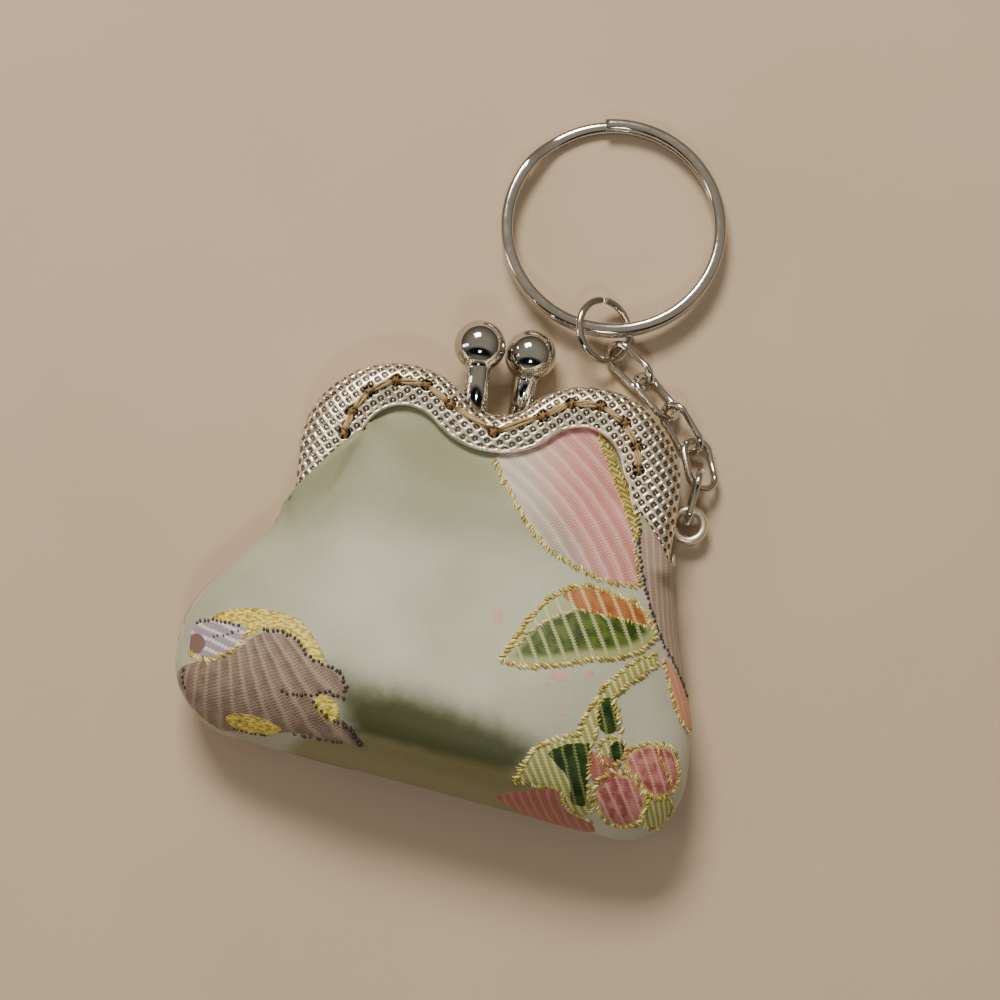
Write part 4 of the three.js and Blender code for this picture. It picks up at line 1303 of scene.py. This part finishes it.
def make_clasp_balls(material):
    across = math.sqrt((BALL_DIAMETER + BALL_GAP) ** 2 - BALL_STAGGER ** 2) / 2
    dip_edge = DIP_Y - DIP_RADIUS
    ball = BALL_DIAMETER / 2
    post = POST_DIAMETER / 2
    for name, side in (("clasp_ball_front", 1), ("clasp_ball_back", -1)):
        centre = np.array([-side * across, dip_edge + BALL_REACH, FRAME_MIDDLE + side * BALL_STAGGER / 2])
        seat_level = FRAME_MIDDLE + side * (HALF_GAP + HALF_DEPTH) / 2
        seat = np.array([-side * POST_SPREAD / 2, dip_edge - 1, seat_level])
        axis = centre - seat
        length = np.linalg.norm(axis)
        axis /= length
        start = length - math.sqrt(ball ** 2 - post ** 2)
        profile = [(POST_SEAT, 0.0), (POST_SEAT, post * POST_NECK[1][1])]
        profile += [(start - down, post * share) for down, share in POST_NECK]
        half_turn = turns(2 * SPIN_STEPS)[:SPIN_STEPS]
        around = [(length - ball * math.cos(t), ball * math.sin(t)) for t in half_turn]
        profile += [(s, r) for s, r in around if s > start + NECK_CLEAR]
        profile.append((length + ball, 0.0))
        side_axis = np.cross(axis, [0, 0, 1])
        side_axis /= np.linalg.norm(side_axis)
        up_axis = np.cross(side_axis, axis)
        spin = turns(SPIN_STEPS)[:, None]
        round_it = np.cos(spin) * side_axis + np.sin(spin) * up_axis
        points = np.concatenate([seat + axis * s + r * round_it for s, r in profile])
        piece = make_object(name + "_turned", points, ring_faces(len(profile), SPIN_STEPS), material)
        weld(piece)
        stand_for(piece, name)


def weld(piece):
    """Merge points that share a place."""
    work = bmesh.new()
    work.from_mesh(piece.data)
    bmesh.ops.remove_doubles(work, verts=work.verts, dist=WELD_REACH)
    bmesh.ops.recalc_face_normals(work, faces=work.faces)
    work.to_mesh(piece.data)
    work.free()


def side_loop():
    """The ring on the right arm that the chain hangs from."""
    place = (FRAME_WIDTH / 2 + LOOP_DIAMETER / 2 - LOOP_BITE, -LOOP_DOWN, HALF_DEPTH / 2)
    path = round_path((LOOP_DIAMETER - LOOP_WIRE) / 2, turns(LOOP_STEPS)) + np.array(place)
    return tube(path, LOOP_WIRE / 2, LOOP_SIDES, True)


def make_frame(material, thread):
    stations, fine = FRAME_DETAIL
    for side, node in ((1, "frame_front"), (-1, "frame_back")):
        points, faces, pit = knurled_half(side, stations, fine)
        if side < 0:
            points, faces = join_parts([(points, faces), side_loop()])
            pit = np.concatenate([pit, np.zeros(len(points) - len(pit))])
        piece = make_object(node + "_knurled", points, faces, material)
        keep(piece, "pit", pit)
        stand_for(piece, node)
        make_sewing(side, thread)


# Sewing thread: strands and their spread, and a knot of short turns in each hole
STRANDS = 7
STRAND_POINTS = 26
STRAND_RADIUS = 0.12
STRAND_START = 0.4
STRAND_TWIST = (1.5, 3.0)
STRAND_SPREAD = (0.2, 0.36)
STRAND_BOW = 0.05
STRAND_FLAT = 0.6
STRAND_TONE = (0.75, 1.0)
# how far from the holes the painted shade on the strands fades out, as shares of their length
HOLE_SHADE_FADE = (0.1, 0.3)
THREAD_SIDES = 7
KNOT_TURNS = 9
KNOT_POINTS = 7
KNOT_REACH = (0.3, 0.66)
KNOT_LIFT = (-0.15, 0.08)
KNOT_TOP = 0.1
KNOT_FALL = 0.5
KNOT_STRAY = 0.1
KNOT_RADIUS = (0.09, 0.13)
LIFT_PLACES = [0, 0.07, 0.17, 0.3, 0.5, 0.7, 0.83, 0.93, 1]


def sewing_strands(random, start, end, top, side):
    """Strands from one hole to the next, and a tone for each of their points."""
    share = np.linspace(0, 1, STRAND_POINTS)
    plan = start + (end - start) * share[:, None]
    lift = np.interp(share, LIFT_PLACES, SEWING_LIFT)
    path = np.concatenate([plan, (top + side * lift)[:, None]], 1)
    ahead = np.append(end - start, 0) / np.linalg.norm(end - start)
    across = np.cross(ahead, [0, 0, 1])
    belly = np.sin(np.pi * share)
    waist = 0.5 + 0.5 * belly
    # Painted shade: the strands turn dark where they dip into the holes
    rise = smoothstep(*HOLE_SHADE_FADE, np.minimum(share, 1 - share))
    for strand in range(STRANDS):
        begin = 2 * np.pi * strand / STRANDS + random.uniform(-STRAND_START, STRAND_START)
        twist = begin + random.uniform(*STRAND_TWIST) * share
        spread = random.uniform(*STRAND_SPREAD) * waist
        bow = random.normal(0, STRAND_BOW) * belly
        offset = (spread * np.cos(twist) + bow)[:, None] * across
        offset[:, 2] += spread * STRAND_FLAT * np.sin(twist) * side
        tone = rise * random.uniform(*STRAND_TONE)
        yield tube(path + offset, STRAND_RADIUS, THREAD_SIDES), np.repeat(tone, THREAD_SIDES)


def sewing_knot(random, centre, top, side):
    """Short turns of thread that cross over one hole, and a tone for each of their points."""
    share = np.linspace(-1, 1, KNOT_POINTS)[:, None]
    for _ in range(KNOT_TURNS):
        turn = random.uniform(0, np.pi)
        reach = np.array([math.cos(turn), math.sin(turn), 0]) * random.uniform(*KNOT_REACH)
        lift = KNOT_TOP - KNOT_FALL * share ** 2 + random.uniform(*KNOT_LIFT)
        path = np.append(centre + random.normal(0, KNOT_STRAY, 2), top) + reach * share
        path[:, 2] += lift[:, 0] * side
        part = tube(path, random.uniform(*KNOT_RADIUS), THREAD_SIDES)
        # The turns in the holes get dark tones, a painted shade
        yield part, np.full(len(part[0]), random.uniform(0, 0.5))


def make_sewing(side, material):
    """Loose thread that runs from each sewing hole to the next over the metal, with a knot in each hole."""
    random = np.random.default_rng(SEWING_SEED)
    top = FRAME_MIDDLE + side * (HALF_GAP / 2 + HALF_DEPTH)
    centres = sewing_holes()
    made = []
    for start, end in zip(centres[:-1], centres[1:]):
        made.extend(sewing_strands(random, start, end, top, side))
    for centre in centres:
        made.extend(sewing_knot(random, centre, top, side))
    points, faces = join_parts([part for part, _ in made])
    piece = make_object("sewing_thread_" + ("front" if side > 0 else "back"), points, faces, material)
    keep(piece, "tone", np.concatenate([tone for _, tone in made]))
    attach(piece, "root")


def make_rivets(material):
    for name, hand in (("hinge_rivet_left", -1), ("hinge_rivet_right", 1)):
        low, high = (np.array(corner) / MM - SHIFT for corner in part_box(name))
        middle = (low + high) / 2
        radius = (high[1] - low[1]) / 2
        outer, inner = (high[0], low[0]) if hand > 0 else (low[0], high[0])
        section = [(inner, 0.0), (inner, RIVET_SHANK)]
        section += [(outer - hand * down, share) for down, share in RIVET_SECTION]
        spin = turns(RIVET_SIDES)
        points = np.concatenate([
            np.stack([
                np.full(RIVET_SIDES, x),
                middle[1] + share * radius * np.cos(spin),
                middle[2] + share * radius * np.sin(spin),
            ], 1)
            for x, share in section
        ])
        piece = make_object(name + "_head", points, ring_faces(len(section), RIVET_SIDES), material)
        weld(piece)
        stand_for(piece, name)


# Materials: scales of the noises in turns per metre of surface, and colours as a picture shows them
WEAR_SCALE = 900.0
SMEAR_SCALE = 140.0
FINE_SCALE = 4000.0
FIBRE_SCALE = 2600.0
GOLD_SCALE = 5000.0
TABLE_SCALE = 30.0
SMEAR_DARKENING = 0.86
# tone of a gold stitch and its colour
GOLD_TONES = (
    (0.0, srgb(120, 98, 40)),
    (0.2, srgb(158, 138, 60)),
    (0.5, srgb(204, 186, 92)),
    (0.75, srgb(230, 216, 130)),
    (1.0, srgb(238, 234, 182)),
)


def nickel(name, colour, roughness, grain):
    """Plated metal with faint wear."""
    finish = Finish(name, Metallic=1.0)
    place = finish.place()
    wear = finish.noise(place, WEAR_SCALE, 3.0)
    smear = finish.range(finish.noise(place, SMEAR_SCALE), 0.35, 0.7)
    darker = tuple(channel * SMEAR_DARKENING for channel in colour[:3]) + (1,)
    finish.set("Base Color", finish.mix(smear, colour, darker))
    finish.set("Roughness", finish.range(wear, 0.2, 0.8, roughness * 0.7, roughness * 1.5))
    finish.bump(finish.noise(place, FINE_SCALE), grain, 0.02 * MM)
    return finish


def knurled_nickel():
    finish = nickel("knurled_nickel", srgb(250, 240, 220), 0.3, 0.1)
    bare = finish.shader.inputs["Base Color"].links[0].from_socket
    # Painted shade: the pits and the sewing holes are darkened toward a grey brown
    pit = finish.range(finish.attribute("pit"), 0.15, 1.0)
    finish.set("Base Color", finish.mix(pit, Shade(finish, bare), srgb(92, 82, 66)))
    return finish.material


def sewing_thread():
    finish = Finish("sewing_thread", Roughness=0.75)
    fibre = finish.noise(finish.place(), FIBRE_SCALE, 3.0)
    # The tone is dark where the thread dips into the sewing holes, a painted shade, and differs at random
    # along the strands
    light = finish.mix(fibre, srgb(160, 132, 84), srgb(220, 198, 148))
    dark = finish.mix(fibre, srgb(70, 46, 14), srgb(130, 92, 40))
    finish.set("Base Color", finish.mix(finish.attribute("tone"), dark, light))
    finish.bump(fibre, 0.6, 0.1 * MM)
    return finish.material


def gold_thread():
    finish = Finish("gold_thread", Metallic=0.25)
    place = finish.place()
    patch = finish.noise(place, WEAR_SCALE)
    tone = finish.attribute("tone") * 0.8 + patch * 0.3 - 0.05
    finish.set("Base Color", finish.ramp(tone, *GOLD_TONES))
    finish.set("Roughness", finish.range(patch, 0.3, 0.7, 0.32, 0.52))
    finish.bump(finish.noise(place, GOLD_SCALE), 0.3, 0.05 * MM)
    return finish.material


def black_thread():
    finish = Finish("black_thread", Roughness=0.55)
    patch = finish.noise(finish.place(), WEAR_SCALE)
    finish.set("Base Color", finish.mix(patch, srgb(28, 20, 20), srgb(74, 56, 54)))
    return finish.material


class Brocade(Finish):
    """Satin ground with woven motifs. Each motif's edge is kept on the cloth as a distance in millimetres."""

    def __init__(self):
        super().__init__("brocade", Sheen_Weight=0.05, Sheen_Roughness=0.4, Specular_IOR_Level=0.32)
        self.flat = self.attribute("panel", "Vector")
        self.u, self.v, _ = self.split(self.flat)
        self.drift = (self.noise(self.flat, 0.35) - 0.5) * 0.9
        self.teeth = ((self.v * 0.8 + self.u * 0.6) * (2 * math.pi / 0.4)).sine() * 0.09
        self.grain = self.noise(self.join(self.u * 6.0 + self.v * 1.5, self.v), 1.0, 3.0)
        self.cross = self.noise(self.join(self.u * 1.2, self.v * 7.0, 3.0), 1.0, 3.0)
        self.patches = self.noise(self.flat, 0.6, 3.0)
        self.float_lines = self.range(self.slanted(40, 0.36), -0.6, 0.8)
        self.colour = self.ground()
        self.relief = self.grain * 0.3 + self.cross * 0.25
        self.big_petal()
        self.leaves()
        self.buds()
        self.side_motifs()
        self.left_motifs()
        self.set("Base Color", self.colour)
        self.set("Roughness", self.range(self.grain, 0.2, 0.8, 0.4, 0.54))
        self.bump(self.relief + self.slanted(56, 0.42) * 0.04, 0.5, 0.1 * MM)

    def slanted(self, angle, pitch, wobble=0.0):
        """Wave from -1 to 1 across lines that lie at an angle to the purse's width."""
        turn = math.radians(angle)
        across = self.v * math.cos(turn) - self.u * math.sin(turn) + self.drift * wobble
        if wobble:
            across = across + self.teeth
        return (across * (2 * math.pi / pitch)).sine()

    def slanted_ribs(self, angle, pitch, wobble, low, high):
        """From 0 between slanted ribs to 1 on them."""
        return self.range(self.slanted(angle, pitch, wobble), low, high)

    def kept_ribs(self, name, pitch, wobble, unit=1.0):
        """Wave from -1 to 1 across ribs that are kept on the cloth, their edges ragged from short floats."""
        place = self.attribute(name) + self.drift * wobble + self.teeth * unit
        return (place * (2 * math.pi / pitch)).sine()

    def patchy(self, first, second, low=0.35, high=0.65):
        return self.mix(self.range(self.patches, low, high), first, second)

    def lay(self, name, fill, height=None, ragged=0.35):
        """Lay a motif over the cloth so far. With a height, it stands up in the relief."""
        wobble = (self.noise(self.flat, 2.4) - 0.5) * ragged
        inside = self.range(self.attribute(name) + wobble, 0.07, -0.07)
        self.colour = self.mix(inside, self.colour, fill)
        if height is not None:
            self.relief = self.relief + inside * height

    def ground(self):
        slow = self.range(self.noise(self.flat, 0.07), 0.3, 0.7)
        mottled = (self.patches - 0.5) * 1.2 + (self.cross - 0.5) * 0.5
        in_shade = self.range(self.attribute("shade_band") + self.drift + mottled, 1.7, -3.2)
        # Painted shade on the satin: darker towards the left and just below the frame, the dark band where it
        # turns down, and the darker strip below that band
        return self.layered(
            self.mix(slow, srgb(164, 166, 144), srgb(182, 182, 162)),
            (self.range(self.grain, 0.3, 0.8, 0.0, 0.22), srgb(204, 203, 184)),
            (self.range(self.cross, 0.5, 0.8, 0.0, 0.22), srgb(138, 142, 116)),
            (self.range(self.u, -6.0, -24.0) * 0.3, srgb(132, 132, 106)),
            (self.range(self.v, -5.0, 4.0, 1.0, 0.0) * 0.65, srgb(122, 124, 82)),
            (in_shade * 0.95, srgb(56, 60, 12)),
            (self.range(self.attribute("low_strip"), 1.2, -1.4) * 0.85, srgb(122, 114, 72)),
        )

    def big_petal(self):
        wave = self.kept_ribs("petal_ribs", 1.75, 0.6)
        rosy = self.range(self.u * 0.95 - self.v * 0.75 + self.patches * 4.0, 11.5, 18.5)
        petal = self.layered(
            self.mix(rosy, srgb(160, 150, 137), srgb(206, 130, 124)),
            (self.range(self.u, 12.0, 3.0) * 0.8, srgb(206, 196, 180)),
            (self.float_lines * 0.3, srgb(200, 180, 168)),
            # Cream threads lie on the ribs; the hollows between them are darkened, a painted shade
            (self.range(wave, 0.45, 0.95) * 0.42, srgb(214, 200, 184)),
            (self.range(wave, -0.4, -1.0) * 0.3, srgb(140, 110, 100)),
        )
        self.lay("big_petal", petal, 1.0 + wave * 1.4 + self.float_lines * 0.3, 0.2)
        bars = self.slanted_ribs(20, 0.62, 0.0, 0.0, 0.6)
        self.lay("olive_strip", self.mix(bars, srgb(118, 112, 58), srgb(206, 178, 84)), 1.2)

    def leaves(self):
        rib = self.slanted_ribs(63, 1.75, 0.25, 0.45, 0.9)
        green = self.layered(
            self.patchy(srgb(40, 62, 8), srgb(82, 102, 30)),
            (self.range(self.attribute("leaf"), -1.9, -0.7) * 0.8, srgb(168, 174, 122)),
            (rib * 0.75, srgb(178, 180, 132)),
        )
        self.lay("leaf", green, 1.0 + rib * 1.2)
        self.lay("leaf_tip", self.mix(rib * 0.6, srgb(158, 162, 120), srgb(204, 200, 164)))
        brown = self.patchy(srgb(144, 82, 34), srgb(170, 110, 58), 0.3, 0.7)
        self.lay("leaf_top", self.mix(rib * 0.7, brown, srgb(214, 190, 140)))
        bars = self.slanted_ribs(63, 0.9, 0.5, 0.1, 0.7)
        self.lay("pale_green", self.mix(bars, srgb(140, 146, 84), srgb(206, 196, 134)), 1.0)
        rib = self.slanted_ribs(70, 1.5, 0.4, 0.6, 0.95)
        dark = self.patchy(srgb(16, 40, 0), srgb(42, 66, 10))
        self.lay("dark_green", self.mix(rib * 0.4, dark, srgb(158, 168, 104)), 1.2 + rib)

    def buds(self):
        rib = self.slanted_ribs(60, 1.5, 0.4, 0.5, 0.95)
        bud = self.layered(
            self.patchy(srgb(144, 76, 70), srgb(190, 124, 118)),
            (rib * 0.6, srgb(220, 178, 162)),
            (self.range(self.attribute("buds"), -0.75, -0.2) * 0.7, srgb(214, 192, 134)),
        )
        self.lay("buds", bud, 1.2 + rib)
        bars = self.slanted_ribs(70, 1.2, 0.4, 0.3, 0.9) * 0.5
        self.lay("corner_pink", self.mix(bars, srgb(154, 94, 82), srgb(194, 138, 120)), 1.0)

    def side_motifs(self):
        rib = self.slanted_ribs(78, 1.0, 0.3, 0.2, 0.9)
        self.lay("side_petal", self.mix(rib * 0.6, srgb(148, 128, 112), srgb(188, 170, 150)), 0.8 + rib)
        bars = self.slanted_ribs(60, 1.1, 0.0, 0.2, 0.8) * 0.5
        self.lay("side_wedge", self.mix(bars, srgb(196, 132, 108), srgb(220, 172, 136)), 0.8)

    def left_motifs(self):
        wave = self.kept_ribs("left_ribs", 0.1, 0.045, 0.08)
        mauve = self.layered(
            self.patchy(srgb(108, 90, 76), srgb(132, 112, 96), 0.3, 0.7),
            (self.float_lines * 0.25, srgb(148, 128, 112)),
            (self.range(wave, 0.2, 1.0) * 0.42, srgb(178, 160, 142)),
        )
        self.lay("left_petal", mauve, 1.0 + wave * 1.2, 0.2)
        bars = self.slanted_ribs(10, 1.3, 0.8, 0.2, 0.8)
        self.lay("left_lobe", self.mix(bars, srgb(150, 136, 146), srgb(208, 198, 204)))
        self.lay("lobe_mark", srgb(118, 90, 82))
        fleck = self.noise(self.join(self.u, self.v * 2.4), 1.3, 3.0)
        gold = self.layered(
            self.mix(self.range(fleck, 0.38, 0.6), srgb(160, 134, 44), srgb(232, 214, 104)),
            (self.range(self.patches, 0.54, 0.66) * 0.7, srgb(104, 98, 40)),
        )
        self.lay("gold_fill", gold, 1.4 + fleck)
        self.lay("spots", self.mix(self.patches, srgb(186, 122, 120), srgb(216, 176, 168)), 0.8, 1.1)


# The pouch and its outline threads
def keep_pattern(piece, panel):
    """Keep on the cloth where the motifs and their ribs lie. Gives back how much they raise each point."""
    places = panel.motif_places()
    keep(piece, "panel", np.concatenate([places, np.zeros((len(places), 1))], 1))
    lift = np.zeros(len(places))
    for name, shapes in (MOTIFS | SHADES).items():
        edge = np.min([signed_distance(places, panel.outline(rows)) for rows in shapes], axis=0)
        keep(piece, name, edge)
        # The painted shade only darkens the ground; it does not raise it
        if name in MOTIFS:
            lift = np.maximum(lift, smoothstep(*MOTIF_EDGE, edge))
    keep(piece, "petal_ribs", panel.petal_ribs(places))
    keep(piece, "left_ribs", panel.left_ribs(places))
    spots = [np.linalg.norm(places - panel.from_pixel(*pixel), axis=1) - size for pixel, size in SPOTS]
    keep(piece, "spots", np.min(spots, axis=0))
    return lift


def thicken(piece, shares):
    """Give the skin its wall, thinner where a point's share is below 1."""
    group = piece.vertex_groups.new(name="wall")
    for index, share in enumerate(shares):
        group.add([index], float(share), "REPLACE")
    wall = piece.modifiers.new("wall", "SOLIDIFY")
    wall.thickness = CLOTH_WALL * MM
    wall.offset = -1
    wall.vertex_group = group.name
    bpy.context.view_layer.update()
    graph = bpy.context.evaluated_depsgraph_get()
    mesh = bpy.data.meshes.new_from_object(piece.evaluated_get(graph))
    piece.modifiers.clear()
    piece.data = mesh


def make_pouch(cloth, gold, black):
    panel = Panel(Pouch(*CLOTH_DETAIL))
    piece = make_object("brocade_pouch", panel.points, panel.faces, cloth)
    lift = keep_pattern(piece, panel)
    raised = panel.points + panel.normals * (lift * MOTIF_RISE)[:, None]
    piece.data.vertices.foreach_set("co", shared(raised).reshape(-1))
    thicken(piece, panel.wall)
    stand_for(piece, "purse_body")
    for name, lines, material, style, seed, at_back in (
        ("gold_outline_thread", GOLD_LINES, gold, GOLD_STYLE, 3, False),
        ("black_outline_thread", BLACK_LINES, black, BLACK_STYLE, 5, False),
        ("back_gold_outline_thread", GOLD_LINES, gold, GOLD_STYLE, 13, True),
        ("back_black_outline_thread", BLACK_LINES, black, BLACK_STYLE, 15, True),
    ):
        points, faces, tones = stitches(panel, lines, style, seed, at_back)
        thread = make_object(name, points, faces, material)
        keep(thread, "tone", tones)
        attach(thread, "root")


# Table and lights
TABLE_HALF = 3.0
WARM = (1.0, 0.93, 0.82)
SOFT_WARM = (1.0, 0.96, 0.9)
COOL = (0.92, 0.97, 1.0)
# name, place, size in metres, power in watts, colour. Each light looks at the middle of the table
LIGHTS = (
    ("window", (-0.16, 0.42, 0.52), (0.26, 0.2), 5.5, WARM),
    ("side_window", (-0.7, -0.1, 0.3), (0.12, 0.4), 0.9, SOFT_WARM),
    ("lamp", (0.05, -0.42, 0.6), (0.1, 0.06), 0.9, COOL),
)
ROOM_LIGHT = 0.53
ROOM_COLOURS = (
    (0.05, srgb(122, 106, 88)),
    (0.8, srgb(218, 206, 188)),
)
# Direction of the dark patch in the room, how narrow it is each way, and where its edge falls
LEANER_PLACE = (0.04, -0.56, 0.82)
LEANER_NARROWNESS = (0.95, 3.3, 0.6)
LEANER_EDGE = (1.15, 0.6)
LEANER_COLOUR = srgb(30, 32, 38)


def make_table():
    finish = Finish("table", Roughness=0.85)
    patch = finish.noise(finish.place(), TABLE_SCALE, 3.0)
    finish.set("Base Color", finish.mix(patch, srgb(186, 166, 140), srgb(196, 176, 150)))
    mesh = bpy.data.meshes.new("table")
    corners = [(x * TABLE_HALF, y * TABLE_HALF, 0) for x, y in ((-1, -1), (1, -1), (1, 1), (-1, 1))]
    mesh.from_pydata(corners, [], [(0, 1, 2, 3)])
    mesh.materials.append(finish.material)
    table = bpy.data.objects.new("table", mesh)
    bpy.context.scene.collection.objects.link(table)


def make_light(name, place, size, power, colour):
    data = bpy.data.lights.new(name, "AREA")
    data.shape = "RECTANGLE"
    data.size, data.size_y = size
    data.energy = power
    data.color = colour
    light = bpy.data.objects.new(name, data)
    light.location = place
    light.rotation_euler = (-Vector(place)).to_track_quat("-Z", "Y").to_euler()
    bpy.context.scene.collection.objects.link(light)


def make_room():
    """Room light: dim near the floor, brighter overhead, and dark where someone leans over the table."""
    world = bpy.data.worlds.new("room")
    world.use_nodes = True
    graph = Graph(world.node_tree)
    look = graph.node("ShaderNodeTexCoord", None, (), "Generated")
    sky = graph.ramp(graph.split(look)[2], *ROOM_COLOURS)
    aside = graph.vector("SUBTRACT", look, LEANER_PLACE)
    away = graph.vector("LENGTH", graph.vector("MULTIPLY", aside, LEANER_NARROWNESS), output="Value")
    colour = graph.mix(graph.range(away, *LEANER_EDGE), sky, LEANER_COLOUR)
    background = world.node_tree.nodes["Background"]
    graph.feed(background.inputs["Color"], colour)
    graph.feed(background.inputs["Strength"], ROOM_LIGHT)
    bpy.context.scene.world = world


def main():
    make_camera()
    polished = nickel("polished_nickel", srgb(206, 204, 200), 0.07, 0.03).material
    plated = nickel("ring_nickel", srgb(204, 200, 192), 0.1, 0.05).material
    knurled = knurled_nickel()
    thread = sewing_thread()
    make_pouch(Brocade().material, gold_thread(), black_thread())
    make_frame(knurled, thread)
    make_rivets(knurled)
    make_clasp_balls(polished)
    make_links(plated)
    make_jump_ring(plated)
    make_key_ring(plated)
    make_table()
    for light in LIGHTS:
        make_light(*light)
    make_room()


main()
